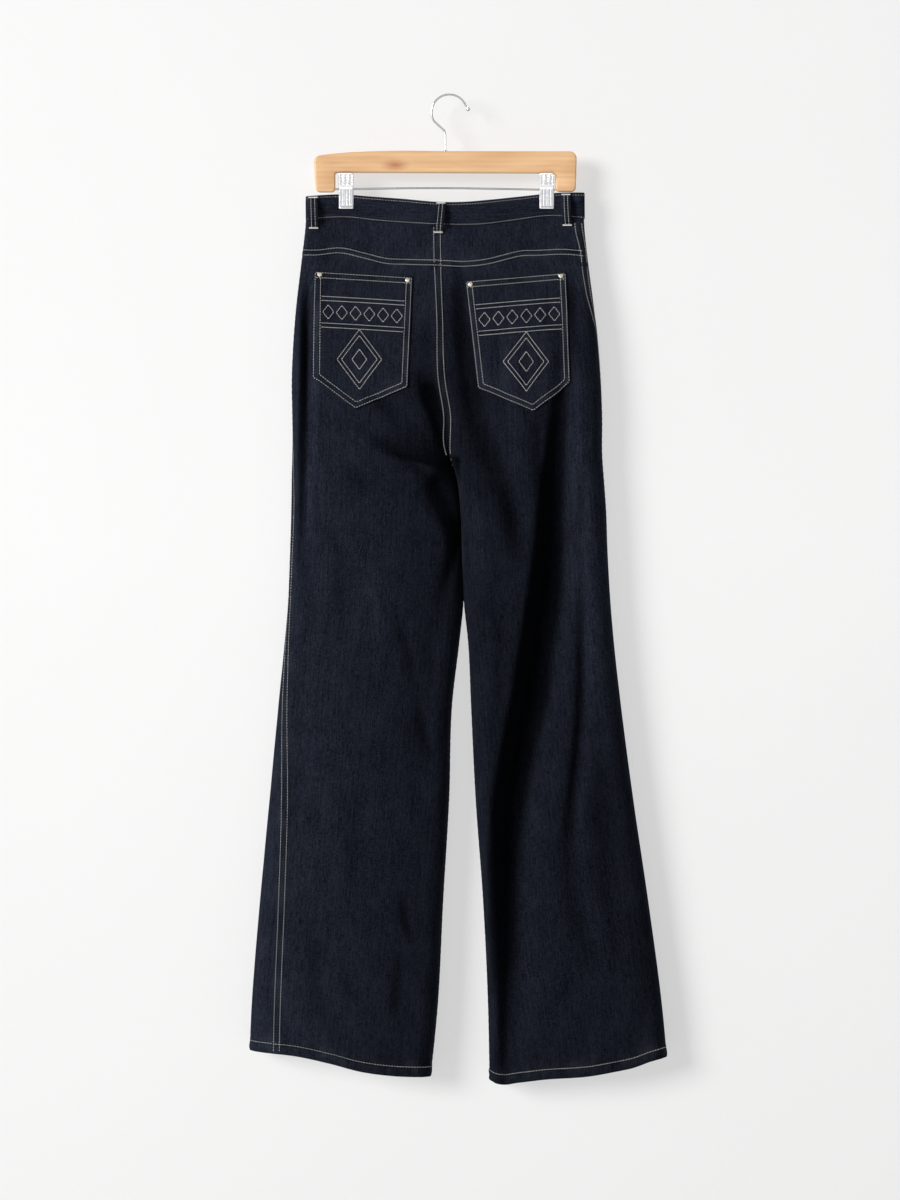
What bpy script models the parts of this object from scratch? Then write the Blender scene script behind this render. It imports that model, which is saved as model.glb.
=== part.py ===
"""Wide leg jeans, hung by the waistband from a wooden clip hanger.

Units in this file are millimetres; MM turns them into metres where meshes are made.
X runs to the right as the back of the jeans is seen, Y runs from the back to the front of the
jeans, and a "level" is the distance below the crest of the hanger's hook (so z = -level).

Each leg is a flattened tube.  Its sections are worked out from LegRow tables (outline, roundness
of the two edges, place of the side seam) and from BODY (how far the back and front stand out),
and Fold tables press troughs into them.  A place on a section is given by q: 0 at the outer edge,
up to +1 along the back and down to -1 along the front, to the inner edge or the centre seam.
"""
import math
from collections import namedtuple

import bmesh
import bpy
import numpy as np
from mathutils import Vector

MM = 0.001
CLOTH = 1.4            # wall of a leg panel, yoke or pocket
BAND = 3.0             # wall of the folded waistband
BAND_PROUD = 1.2       # how far the waistband stands out from the yokes
SEAM_GAP = 0.3         # between pieces that are sewn together
PATCH_GAP = 0.9        # between a patch and the curved panel below it
CLAMPED = 4.0          # depth that the edge of the clamped waist keeps
EDGE_EASE, CENTRE_EASE = 22.0, 12.0    # folds fade out this close to a section's two ends
FOLD_SHARPNESS = 1.3

HIP_TOP, HIP_FULL = 165.0, 330.0       # levels between which the clamped waist opens out
RISE_START, CROTCH = 360.0, 488.0      # levels where the centre seams turn in, and meet
HEM_BLEND, HEM = 1130.0, 1290.0        # levels between which rows bend to the hem's line
CROWN = 0.14                           # share of the depth that is lost at a panel's edges
NOSE_START = 0.6                       # share of the width from which the inner edge turns

LegRow = namedtuple("LegRow", "level outer inner outer_round inner_round nose side_seam")
BodyRow = namedtuple("BodyRow", "level back front")
SeamRow = namedtuple("SeamRow", "x level")
LineRow = namedtuple("LineRow", "share level")
WaistRow = namedtuple("WaistRow", "x half")
FoldRow = namedtuple("FoldRow", "level x depth to_outer to_inner")

LEFT_ROWS = (
    #      level  outer  inner  outer_round inner_round nose side_seam
    LegRow(125, -193.5, -17.8, 8, 20, 0, -4),
    LegRow(175, -194.5, -17.6, 10, 20, 0, -6),
    LegRow(220, -199.5, -17.1, 20, 22, 0, -8),
    LegRow(300, -208.5, -14.2, 30, 26, 0, -8),
    LegRow(390, -213.0, -10.5, 32, 30, 0, -6),
    LegRow(430, -212.5, -3.0, 31, 36, 0, -3),
    LegRow(488, -212.5, 0.0, 30, 42, 0, 0),
    LegRow(515, -213.5, 9.0, 29, 42, 3, 2),
    LegRow(560, -214.5, 15.5, 28, 38, 6, 4),
    LegRow(620, -216.0, 17.8, 27, 30, 6, 8),
    LegRow(681, -218.5, 18.0, 26, 25, 5, 12),
    LegRow(740, -223.5, 12.0, 25, 24, 2, 18),
    LegRow(816, -231.0, 3.0, 24, 23, 0, 24),
    LegRow(950, -243.7, -1.5, 24, 22, 0, 33),
    LegRow(1086, -256.5, -9.5, 23, 22, 0, 41),
    LegRow(1230, -268.0, -17.0, 22, 22, 0, 47),
    LegRow(1340, -272.0, -28.0, 20, 20, 0, 49),
)

RIGHT_ROWS = (
    LegRow(125, 180.8, -17.8, 8, 20, 0, 10),
    LegRow(175, 181.3, -17.6, 10, 20, 0, 10),
    LegRow(220, 186.0, -17.1, 20, 20, 0, 12),
    LegRow(300, 196.0, -14.2, 30, 22, 0, 12),
    LegRow(390, 203.5, -10.5, 32, 20, 0, 6),
    LegRow(430, 205.0, -3.0, 31, 15, 0, 3),
    LegRow(488, 205.0, 0.6, 30, 13, 0, -1),
    LegRow(515, 207.0, 9.0, 29, 14, -3, -3),
    LegRow(560, 210.5, 14.3, 28, 17, -6, -5),
    LegRow(620, 213.0, 16.6, 27, 20, -6, -8),
    LegRow(681, 216.5, 18.9, 26, 22, -5, -12),
    LegRow(740, 221.5, 25.0, 25, 22, -2, -16),
    LegRow(816, 230.0, 28.5, 24, 22, 0, -20),
    LegRow(950, 247.5, 35.0, 24, 22, 0, -26),
    LegRow(1086, 267.5, 45.0, 23, 22, 0, -32),
    LegRow(1230, 286.5, 51.8, 22, 20, 0, -36),
    LegRow(1340, 296.5, 54.0, 20, 18, 0, -38),
)

BODY = (
    #       level back front
    BodyRow(125, 20, 19),
    BodyRow(230, 22, 20),
    BodyRow(330, 27, 24),
    BodyRow(430, 29, 26),
    BodyRow(488, 28, 25),
    BodyRow(560, 27, 24),
    BodyRow(680, 26, 23),
    BodyRow(820, 25, 22),
    BodyRow(1000, 24, 21),
    BodyRow(1150, 24, 22),
    BodyRow(1340, 26, 25),
)

# Half the depth of the waist, pinched where the two clips grip it.
WAIST = (
    WaistRow(-195, 4.4), WaistRow(-172, 3.9), WaistRow(-153, 2.6), WaistRow(-127, 2.6),
    WaistRow(-102, 4.4), WaistRow(-60, 8.6), WaistRow(0, 10.0), WaistRow(55, 8.6),
    WaistRow(90, 4.4), WaistRow(112, 2.6), WaistRow(149, 2.6), WaistRow(166, 3.9),
    WaistRow(182, 4.4),
)
WAIST_TOP = (
    SeamRow(-194, 136), SeamRow(-150, 133.5), SeamRow(-100, 137), SeamRow(-58, 140.5),
    SeamRow(-20, 144), SeamRow(20, 144), SeamRow(55, 141), SeamRow(95, 136.5),
    SeamRow(143, 131.5), SeamRow(181, 131),
)
WAIST_SEAM = (
    SeamRow(-194, 169), SeamRow(-138, 166), SeamRow(-99, 170.5), SeamRow(-47, 174.5),
    SeamRow(0, 176.5), SeamRow(43, 176), SeamRow(81, 171), SeamRow(134, 164), SeamRow(181, 167),
)

# Seam lines by the share of the way from the side seam to the inner seam.
YOKE_LEFT = (
    LineRow(0, 211), LineRow(0.15, 212.5), LineRow(0.32, 209.5), LineRow(0.5, 217),
    LineRow(0.65, 224), LineRow(0.8, 225.5), LineRow(1, 226.5),
)
YOKE_RIGHT = (
    LineRow(0, 213.5), LineRow(0.1, 211.5), LineRow(0.3, 212.8), LineRow(0.42, 213.6),
    LineRow(0.53, 218.6), LineRow(0.65, 224.6), LineRow(0.8, 228), LineRow(1, 226.5),
)
# Hem lines by x, the same behind and in front.
HEM_LEFT = (
    SeamRow(-274, 1287.5), SeamRow(-243, 1291), SeamRow(-208, 1295), SeamRow(-161, 1305),
    SeamRow(-121, 1315.5), SeamRow(-78, 1321.5), SeamRow(-27, 1323.5),
)
HEM_RIGHT = (
    SeamRow(52, 1327.5), SeamRow(62, 1332), SeamRow(74, 1334), SeamRow(90, 1331.5),
    SeamRow(121, 1327), SeamRow(190, 1321.5), SeamRow(221, 1316), SeamRow(247, 1310.5),
    SeamRow(271, 1302), SeamRow(297, 1296),
)

# The deep valley that runs down the back of the right leg, steep on its inner side.
RIGHT_VALLEY = (
    FoldRow(300, 152, 0, 24, 16),
    FoldRow(411, 151, 4.5, 28, 16),
    FoldRow(478, 144, 13, 32, 14),
    FoldRow(546, 139, 20, 36, 15),
    FoldRow(613, 137, 25, 38, 16),
    FoldRow(681, 129.5, 28, 40, 17),
    FoldRow(748, 119, 30, 42, 18),
    FoldRow(816, 109, 31, 44, 19),
    FoldRow(883, 96, 31, 46, 19),
    FoldRow(951, 84, 30, 48, 18),
    FoldRow(1018, 79, 28, 48, 17),
    FoldRow(1086, 77.5, 25, 46, 15),
    FoldRow(1153, 78, 21, 42, 13),
    FoldRow(1221, 77, 15, 38, 12),
    FoldRow(1340, 76, 8, 32, 11),
)
# The thin valley beside it, lower on the thigh.
RIGHT_THIN = (
    FoldRow(620, 174, 0, 12, 9),
    FoldRow(720, 176, 4, 12, 9),
    FoldRow(860, 175, 5, 14, 10),
    FoldRow(951, 166, 5, 15, 11),
    FoldRow(1018, 162, 4, 18, 12),
    FoldRow(1120, 176, 2.5, 24, 16),
    FoldRow(1230, 200, 0, 28, 20),
)
# From beside the centre back seam down across the seat, into the deep valley.
RIGHT_SEAT = (
    FoldRow(225, 10, 0, 14, 9),
    FoldRow(316, 17, 4, 18, 12),
    FoldRow(384, 23, 8, 22, 13),
    FoldRow(451, 39, 10, 24, 16),
    FoldRow(519, 66, 9, 24, 18),
    FoldRow(573, 82, 7, 22, 18),
    FoldRow(640, 98, 0, 20, 18),
)
# Close inside the outer edge of the left leg, beside the side seam.
LEFT_EDGE = (
    FoldRow(235, -189, 0, 7, 6),
    FoldRow(300, -193, 3.5, 7, 6),
    FoldRow(400, -194, 4.5, 8, 7),
    FoldRow(540, -197, 3.5, 8, 10),
    FoldRow(640, -200, 0, 8, 10),
)
# Drag lines from the left hip to the crotch, and the pit below the crotch point.
LEFT_DRAG = (
    FoldRow(405, -112, 0, 22, 18),
    FoldRow(440, -86, 4, 22, 18),
    FoldRow(475, -56, 6, 20, 18),
    FoldRow(505, -26, 10, 18, 16),
    FoldRow(535, -12, 12, 18, 14),
    FoldRow(575, -16, 5, 18, 14),
    FoldRow(620, -18, 0, 16, 14),
)
LEFT_INNER = (
    FoldRow(570, 4, 0, 12, 8),
    FoldRow(610, 0, 6, 13, 9),
    FoldRow(650, -8, 6, 13, 10),
    FoldRow(720, -22, 3, 14, 12),
    FoldRow(860, -34, 2, 16, 14),
    FoldRow(980, -40, 0, 16, 14),
)
LEFT_STREAK = (
    FoldRow(385, -24, 0, 8, 6),
    FoldRow(420, -19, 5, 9, 6),
    FoldRow(455, -13, 5, 10, 6),
    FoldRow(480, -10, 0, 10, 6),
)
# Folds of the front, one long valley down each leg and drag lines at the crotch.
LEFT_FRONT_VALLEY = (
    FoldRow(430, -120, 0, 26, 20),
    FoldRow(600, -122, 8, 30, 20),
    FoldRow(800, -128, 12, 34, 22),
    FoldRow(1000, -136, 11, 36, 24),
    FoldRow(1200, -144, 7, 36, 26),
    FoldRow(1340, -148, 4, 34, 26),
)
RIGHT_FRONT_VALLEY = (
    FoldRow(400, 118, 0, 24, 20),
    FoldRow(560, 122, 7, 26, 20),
    FoldRow(760, 136, 9, 30, 22),
    FoldRow(960, 160, 8, 32, 24),
    FoldRow(1160, 182, 6, 32, 26),
    FoldRow(1340, 192, 4, 30, 26),
)
LEFT_FRONT_DRAG = (
    FoldRow(390, -92, 0, 20, 16),
    FoldRow(440, -66, 4, 20, 16),
    FoldRow(490, -40, 5, 18, 15),
    FoldRow(550, -30, 0, 18, 14),
)
RIGHT_FRONT_DRAG = (
    FoldRow(380, 84, 0, 20, 16),
    FoldRow(435, 58, 4, 20, 16),
    FoldRow(490, 38, 5, 18, 15),
    FoldRow(560, 34, 0, 18, 14),
)

Leg = namedtuple("Leg", "name inward rows yoke hem back_folds front_folds")
LEFT = Leg("left", 1, LEFT_ROWS, YOKE_LEFT, HEM_LEFT,
           (LEFT_EDGE, LEFT_DRAG, LEFT_INNER, LEFT_STREAK),
           (LEFT_FRONT_VALLEY, LEFT_FRONT_DRAG))
RIGHT = Leg("right", -1, RIGHT_ROWS, YOKE_RIGHT, HEM_RIGHT,
            (RIGHT_VALLEY, RIGHT_THIN, RIGHT_SEAT),
            (RIGHT_FRONT_VALLEY, RIGHT_FRONT_DRAG))

BACK_LEVELS = (236, 262, 300, 335, 368, 400, 430, 455, 475, 488, 505, 530, 560, 600, 650, 710,
               780, 850, 920, 990, 1060, HEM_BLEND, 1190, 1245, HEM)
FRONT_LEVELS = (182.5, 197.5, 212.5) + BACK_LEVELS
STEP_Q, STEP_LEVEL = 0.004, 1.0        # how far apart slopes are measured
COLUMNS = {"back_left": 18, "back_right": 28, "front_left": 14, "front_right": 14}
YOKE_CELLS = 3
BAND_COLUMNS = 60
BAND_LEVEL = 155.0                     # where the waistband's length is measured
BAND_UNDERLAP, BAND_LAP_START, BAND_LAP_EASE = 26.0, 2.0, 40.0

# Patch pockets, five-sided: x and level of the corners, seen from the back.
Pocket = namedtuple("Pocket", "leg top_left top_right low_right tip low_left")
POCKETS = {
    "pocket_left": Pocket(LEFT, (-182.5, 238), (-50, 246), (-56.5, 395), (-127, 424.5), (-183.5, 382.5)),
    "pocket_right": Pocket(RIGHT, (20.5, 251.5), (156.5, 240), (163, 388), (112, 428), (38, 396)),
}
POCKET_COLUMNS, POCKET_ROWS = 10, 8
RIVET_RADIUS, RIVET_HEIGHT, RIVET_SIDES = 3.6, 1.5, 12
RIVET_INSET = (7.0, 5.0)
DOME = 0.62                            # top radius of a button or a rivet, as a share

# Belt loops: x of the middle at the top and at the bottom, level of both ends, and the side.
Loop = namedtuple("Loop", "x_top x_bottom top bottom back")
LOOPS = {
    "belt_loop_back_left": Loop(-185, -184, 136.5, 181, True),
    "belt_loop_back_centre": Loop(-12, -16, 144.5, 187, True),
    "belt_loop_back_right": Loop(156.5, 158.5, 132.5, 177, True),
    "belt_loop_front_left": Loop(-88, -90, 139.5, 184, False),
    "belt_loop_front_right": Loop(76, 78, 139.5, 184, False),
}
LOOP_WIDTH, LOOP_WALL, LOOP_STAND = 13.0, 1.3, 7.4
LOOP_PAST_BAND = (0.75, 0.95)          # shares between which it steps off the band
LOOP_RISE = 0.3                        # share of the length in which it leaves the band
LOOP_COLUMNS, LOOP_ROWS = 2, 10

FLY_TOP, FLY_WIDTH, FLY_LENGTH, FLY_WALL = 176.8, 38.0, 172.0, 1.3
FLY_COLUMNS, FLY_ROWS = 4, 8
FLY_LAP, FLY_ROUND = 5.0, 0.8          # past the centre seam, and the J of its lower end
BUTTON_X, BUTTON_LEVEL = -18.0, 158.0
BUTTON_RADIUS, BUTTON_HEIGHT, BUTTON_SIDES = 8.5, 3.2, 20

# The hanger: a board with a tab at each end, its outline clockwise from the upper left corner.
CornerRow = namedtuple("CornerRow", "x level round")
BAR = (
    CornerRow(-184.3, 82.0, 9), CornerRow(-148, 77.2, 24), CornerRow(-74, 74.2, 34),
    CornerRow(-13, 75.4, 24), CornerRow(171.5, 75.6, 10), CornerRow(170, 129.8, 6),
    CornerRow(142.3, 129.8, 5), CornerRow(142.3, 105.2, 3.5), CornerRow(-154.7, 104.1, 3.5),
    CornerRow(-154.7, 130.6, 5), CornerRow(-180.9, 130.6, 6),
)
BAR_THICKNESS, BAR_EDGE, BAR_ARC_STEPS = 13.5, 2.2, 3
ROD_RADIUS, ROD_POINTS = 1.4, 9
ROD = (LineRow(0, 126.4), LineRow(0.42, 124.8), LineRow(1, 127.2))
HOOK_WIRE, HOOK_TURN, HOOK_X = 1.5, 23.9, -0.9
HOOK_START, HOOK_END, HOOK_STEPS = 214.0, 20.0, 22
WireRow = namedtuple("WireRow", "x level swell")
SHANK = (WireRow(-6.4, 75.1, 1), WireRow(-6.4, 52, 1), WireRow(-6.8, 48.6, 1), WireRow(-8.8, 46, 1))
BALL = (WireRow(0.9, 1.9, 1.0), WireRow(1.9, 3.0, 1.7), WireRow(3.2, 4.2, 1.95),
        WireRow(4.4, 5.2, 1.7), WireRow(5.0, 5.7, 0.9))
CLIP_X = (-140.0, 130.6)
CLIP_WIDTH, CLIP_WALL, CLIP_CELLS = 20.0, 1.0, 12
CLIP_NARROW = 0.10                     # how much narrower the jaw is at its grip
ClipRow = namedtuple("ClipRow", "level out flange")
CLIP_ROWS = (
    ClipRow(105.5, 10.2, 1.6), ClipRow(110, 9.6, 2.6), ClipRow(116, 8.6, 4.6),
    ClipRow(121.5, 7.6, 5.4), ClipRow(125.5, 6.9, 5.0), ClipRow(129, 6.3, 1.4),
    ClipRow(134, 5.7, 1.2), ClipRow(141, 5.4, 1.1), ClipRow(149, 5.2, 1.1),
    ClipRow(153.5, 5.6, 1.1),
)


# ---- reading the tables ----

def smooth_step(start, end, value):
    t = np.clip((value - start) / (end - start), 0.0, 1.0)
    return t * t * (3.0 - 2.0 * t)


def read(rows, key, column, value):
    """The column's value where the key has the given value, on a smooth curve through the rows."""
    keys = np.array([getattr(row, key) for row in rows], float)
    values = np.array([getattr(row, column) for row in rows], float)
    slopes = np.gradient(values, keys)
    low = np.clip(np.searchsorted(keys, value) - 1, 0, len(keys) - 2)
    span = keys[low + 1] - keys[low]
    t = np.clip((value - keys[low]) / span, 0.0, 1.0)
    return ((2 * t**3 - 3 * t**2 + 1) * values[low] + (t**3 - 2 * t**2 + t) * span * slopes[low]
            + (3 * t**2 - 2 * t**3) * values[low + 1] + (t**3 - t**2) * span * slopes[low + 1])


def fold_depth(folds, x, level, inward):
    """How far the folds press the cloth in at x and level."""
    total = np.zeros_like(x)
    for rows in folds:
        offset = (x - read(rows, "level", "x", level)) * inward
        width = np.where(offset > 0, read(rows, "level", "to_inner", level),
                         read(rows, "level", "to_outer", level))
        inside = (level > rows[0].level) & (level < rows[-1].level)
        depth = np.where(inside, read(rows, "level", "depth", level), 0.0)
        total = total + depth * np.exp(-(offset / width) ** 2 * FOLD_SHARPNESS)
    return total


# ---- the sections of the legs ----

def centre_turn(level):
    """0 where the centre seam lies on the surface, 1 from the crotch down."""
    t = np.clip((level - RISE_START) / (CROTCH - RISE_START), 0.0, 1.0)
    return 1.0 - np.sqrt(1.0 - t * t)


def edge_runs(leg, level, back):
    """Lengths of the outer arc, the flat and the inner arc of a section, and its width."""
    half = np.where(back, read(BODY, "level", "back", level), read(BODY, "level", "front", level))
    half = np.where(level < HIP_FULL, half * smooth_step(HIP_TOP, HIP_FULL, level) + CLAMPED, half)
    outer_round = read(leg.rows, "level", "outer_round", level)
    inner_round = read(leg.rows, "level", "inner_round", level)
    width = abs(read(leg.rows, "level", "inner", level) - read(leg.rows, "level", "outer", level))
    outer_run = math.pi / 2 * np.sqrt((outer_round**2 + half**2) / 2)
    turn = centre_turn(level)
    inner_run = turn * math.pi / 2 * np.sqrt((inner_round**2 + half**2) / 2) + (1 - turn) * inner_round
    return outer_run, width - outer_round - inner_round, inner_run, width


def skin(leg, level, q):
    """x and y of the outer face of the cloth at a place on the section."""
    back = q >= 0
    outer_run, flat_run, inner_run, width = edge_runs(leg, level, back)
    outer_round = read(leg.rows, "level", "outer_round", level)
    inner_round = read(leg.rows, "level", "inner_round", level)
    turn = centre_turn(level)
    run = np.abs(q) * (outer_run + flat_run + inner_run)
    outer_angle = np.clip(run / outer_run, 0, 1) * math.pi / 2
    inner_share = np.clip((run - outer_run - flat_run) / inner_run, 0, 1)
    inner_angle = inner_share * math.pi / 2
    across = (outer_round * (1 - np.cos(outer_angle)) + np.clip(run - outer_run, 0, flat_run)
              + inner_round * (turn * np.sin(inner_angle) + (1 - turn) * inner_share))
    lift = np.sin(outer_angle) * (1 - turn * (1 - np.cos(inner_angle)))
    x = read(leg.rows, "level", "outer", level) + leg.inward * across

    crown = 1 - CROWN + CROWN * np.sin(math.pi * across / width * (0.5 + 0.5 * turn))
    open_out = smooth_step(HIP_TOP, HIP_FULL, level)
    full = np.where(back, read(BODY, "level", "back", level), read(BODY, "level", "front", level))
    half = read(WAIST, "x", "half", x) * (1 - open_out) + full * crown * open_out
    pressed = np.where(back, fold_depth(leg.back_folds, x, level, leg.inward),
                       fold_depth(leg.front_folds, x, level, leg.inward))
    to_centre = outer_run + flat_run + inner_run - run
    near_ends = smooth_step(0, EDGE_EASE, run) * smooth_step(0, CENTRE_EASE, to_centre)
    nose = read(leg.rows, "level", "nose", level) * smooth_step(NOSE_START, 1.0, across / width)
    facing = np.where(back, -1.0, 1.0)
    y = nose + (facing * half - nose) * lift - facing * pressed * near_ends
    return x, y


def point(leg, level, q, inset=0.0):
    """A point of the cloth in mm, moved inward from its outer face by the inset."""
    x, y = skin(leg, level, q)
    q_low, q_high = np.clip(q - STEP_Q, -1, 1), np.clip(q + STEP_Q, -1, 1)
    x_a, y_a = skin(leg, level, q_low)
    x_b, y_b = skin(leg, level, q_high)
    x_c, y_c = skin(leg, level - STEP_LEVEL, q)
    x_d, y_d = skin(leg, level + STEP_LEVEL, q)
    along = np.stack([x_b - x_a, y_b - y_a, np.zeros_like(x)], -1)
    down = np.stack([x_d - x_c, y_d - y_c, np.full_like(x, -2 * STEP_LEVEL)], -1)
    normal = np.cross(along, down) * -leg.inward
    normal = normal / np.linalg.norm(normal, axis=-1, keepdims=True)
    place = np.stack([x, y, -level], -1)
    return place - normal * np.expand_dims(inset, -1)


def q_at(leg, level, x, back):
    """The place on the section that lies over x, for the outer arc and the flat."""
    outer_run, flat_run, inner_run, width = edge_runs(leg, level, back)
    outer_round = read(leg.rows, "level", "outer_round", level)
    across = np.clip((x - read(leg.rows, "level", "outer", level)) * leg.inward, 0, width)
    on_arc = np.arccos(np.clip(1 - across / outer_round, -1, 1)) / (math.pi / 2) * outer_run
    run = np.where(across < outer_round, on_arc, outer_run + across - outer_round)
    q = run / (outer_run + flat_run + inner_run)
    return np.where(back, q, -q)


def side_seam_q(leg, level):
    seam = read(leg.rows, "level", "side_seam", level)
    outer_run, flat_run, inner_run, _ = edge_runs(leg, level, seam >= 0)
    return seam / (outer_run + flat_run + inner_run)


def gap_q(leg, level, back):
    outer_run, flat_run, inner_run, _ = edge_runs(leg, level, back)
    return SEAM_GAP / 2 / (outer_run + flat_run + inner_run)


# ---- building the meshes ----

def cloth(name, columns, rows, place, thickness, material):
    """A wall of cloth: a grid whose faces are extruded once, laid out by place(u, v, inset)."""
    sheet = bmesh.new()
    bmesh.ops.create_grid(sheet, x_segments=columns, y_segments=rows, size=0.5)
    made = bmesh.ops.extrude_face_region(sheet, geom=sheet.faces[:], use_keep_orig=True)
    inner = {v for v in made["geom"] if isinstance(v, bmesh.types.BMVert)}
    verts = list(sheet.verts)
    u = np.array([v.co.x + 0.5 for v in verts])
    v_down = np.array([v.co.y + 0.5 for v in verts])
    inset = np.array([thickness if v in inner else 0.0 for v in verts])
    for vert, co in zip(verts, place(u, v_down, inset)):
        vert.co = co * MM
    bmesh.ops.recalc_face_normals(sheet, faces=sheet.faces[:])
    bmesh.ops.triangulate(sheet, faces=sheet.faces[:])
    return add_object(name, sheet, material)


def add_object(name, sheet, material):
    if sheet.calc_volume(signed=True) < 0:
        bmesh.ops.reverse_faces(sheet, faces=sheet.faces[:])
    mesh = bpy.data.meshes.new(name)
    sheet.to_mesh(mesh)
    sheet.free()
    return link(name, mesh, material)


def link(name, data, material):
    data.materials.append(material)
    piece = bpy.data.objects.new(name, data)
    bpy.data.collections["wide_leg_jeans"].objects.link(piece)
    return piece


def spread(u, bunch=0.35):
    """Columns lie closer together towards the two edges of a panel."""
    return u - bunch * np.sin(2 * math.pi * u) / (2 * math.pi)


def row_levels(levels, top, hem, v):
    """Level of each grid point: the top row follows one line, the last rows turn to the hem."""
    index = np.rint(v * len(levels)).astype(int)
    base = np.concatenate([[0.0], levels])[index]
    bent = base + (hem - HEM) * smooth_step(HEM_BLEND, HEM, base)
    return np.where(index == 0, top, bent)


def panel_q(leg, level, f, back):
    """The place on the section at share f of the way from the side seam to the inner seam."""
    seam = side_seam_q(leg, level)
    gap = gap_q(leg, level, back)
    facing = 1 if back else -1
    start = seam + facing * gap
    return start + f * (facing * (1 - gap) - start)


def waist_seam_level(leg, f, back):
    level = np.full_like(f, WAIST_SEAM[0].level)
    for _ in range(3):
        x, _y = skin(leg, level, panel_q(leg, level, f, back))
        level = read(WAIST_SEAM, "x", "level", x)
    return level


def hem_level(leg, f, back):
    level = np.full_like(f, HEM)
    for _ in range(3):
        x, _y = skin(leg, level, panel_q(leg, level, f, back))
        level = read(leg.hem, "x", "level", x)
    return level


def leg_panel(name, leg, back, material):
    levels = np.array(BACK_LEVELS if back else FRONT_LEVELS, float)

    def place(u, v, inset):
        f = spread(u)
        if back:
            top = read(leg.yoke, "share", "level", f) + SEAM_GAP / 2
        else:
            top = waist_seam_level(leg, f, False) + SEAM_GAP / 2
        level = row_levels(levels, top, hem_level(leg, f, back), v)
        return point(leg, level, panel_q(leg, level, f, back), inset)

    return cloth(name, COLUMNS[name.replace("leg_", "")], len(levels), place, CLOTH, material)


def yoke(name, leg, material):
    def place(u, v, inset):
        f = spread(u)
        top = waist_seam_level(leg, f, True) + SEAM_GAP / 2
        bottom = read(leg.yoke, "share", "level", f) - SEAM_GAP / 2
        level = top + v * (bottom - top)
        return point(leg, level, panel_q(leg, level, f, True), inset)

    return cloth(name, COLUMNS[f"back_{leg.name}"], YOKE_CELLS, place, CLOTH, material)


def waistband(material):
    """One strip right round the waist, whose end laps over its start at the centre front."""
    mid_level = np.array([BAND_LEVEL])
    lengths = []
    for leg, back in ((RIGHT, False), (RIGHT, True), (LEFT, True), (LEFT, False)):
        outer_run, flat_run, inner_run, _ = edge_runs(leg, mid_level, np.array([back]))
        lengths.append(float((outer_run + flat_run + inner_run)[0]))
    ends = np.cumsum([0.0] + lengths)

    def place(u, v, inset):
        along = -BAND_UNDERLAP + u * (ends[-1] + BAND_UNDERLAP)
        under = (BAND + SEAM_GAP) * (1 - smooth_step(BAND_LAP_START, BAND_LAP_EASE, along))
        wrapped = np.where(along < 0, along + ends[-1], along)
        on_right = wrapped < ends[2]
        q_right = np.where(wrapped < ends[1], -1 + wrapped / lengths[0],
                           (wrapped - ends[1]) / lengths[1])
        q_left = np.where(wrapped < ends[3], 1 - (wrapped - ends[2]) / lengths[2],
                          -(wrapped - ends[3]) / lengths[3])
        places = np.zeros((len(u), 3))
        for leg, mine, q in ((RIGHT, on_right, q_right), (LEFT, ~on_right, q_left)):
            q = np.clip(q, -1, 1)
            level = np.full_like(u, BAND_LEVEL)
            for _ in range(2):
                x, _y = skin(leg, level, q)
                top = read(WAIST_TOP, "x", "level", x)
                seam = read(WAIST_SEAM, "x", "level", x) - SEAM_GAP / 2
                level = top + v * (seam - top)
            placed = point(leg, np.full_like(u, BAND_LEVEL), q, inset + under - BAND_PROUD)
            placed[:, 2] = -level
            places[mine] = placed[mine]
        return places

    return cloth("waistband", BAND_COLUMNS, 1, place, BAND, material)


def leg_over(x):
    return LEFT if x < LEFT_ROWS[0].inner else RIGHT


def surface_point(leg, x, level, back, inset):
    return point(leg, level, q_at(leg, level, x, back), inset)


def pocket(name, corners, material):
    leg = corners.leg
    tip_share = (corners.tip[0] - corners.low_left[0]) / (corners.low_right[0] - corners.low_left[0])
    tip_column = round(tip_share * POCKET_COLUMNS) / POCKET_COLUMNS

    def place(column, v, inset):
        # One column of the grid is moved to the pocket's tip.
        u = np.where(column <= tip_column, column / tip_column * tip_share,
                     tip_share + (column - tip_column) / (1 - tip_column) * (1 - tip_share))
        top = corners.top_left[1] + u * (corners.top_right[1] - corners.top_left[1])
        before_tip = corners.low_left[1] + u / tip_share * (corners.tip[1] - corners.low_left[1])
        after_tip = corners.tip[1] + (u - tip_share) / (1 - tip_share) * (
            corners.low_right[1] - corners.tip[1])
        bottom = np.where(u < tip_share, before_tip, after_tip)
        level = top + v * (bottom - top)
        x_top = corners.top_left[0] + u * (corners.top_right[0] - corners.top_left[0])
        x_low = corners.low_left[0] + u * (corners.low_right[0] - corners.low_left[0])
        x = x_top + v * (x_low - x_top)
        return surface_point(leg, x, level, True, inset - PATCH_GAP - CLOTH)

    return cloth(name, POCKET_COLUMNS, POCKET_ROWS, place, CLOTH, material)


def rivet(name, leg, x, level, material):
    """A low domed disc that lies on a pocket's corner, square to the cloth."""
    x, level = np.array([x]), np.array([level])
    out = PATCH_GAP + CLOTH + SEAM_GAP
    base = surface_point(leg, x, level, True, np.array([-out]))[0]
    top = surface_point(leg, x, level, True, np.array([-out - RIVET_HEIGHT]))[0]
    return domed_disc(name, base, top, RIVET_RADIUS, RIVET_SIDES, material)


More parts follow.
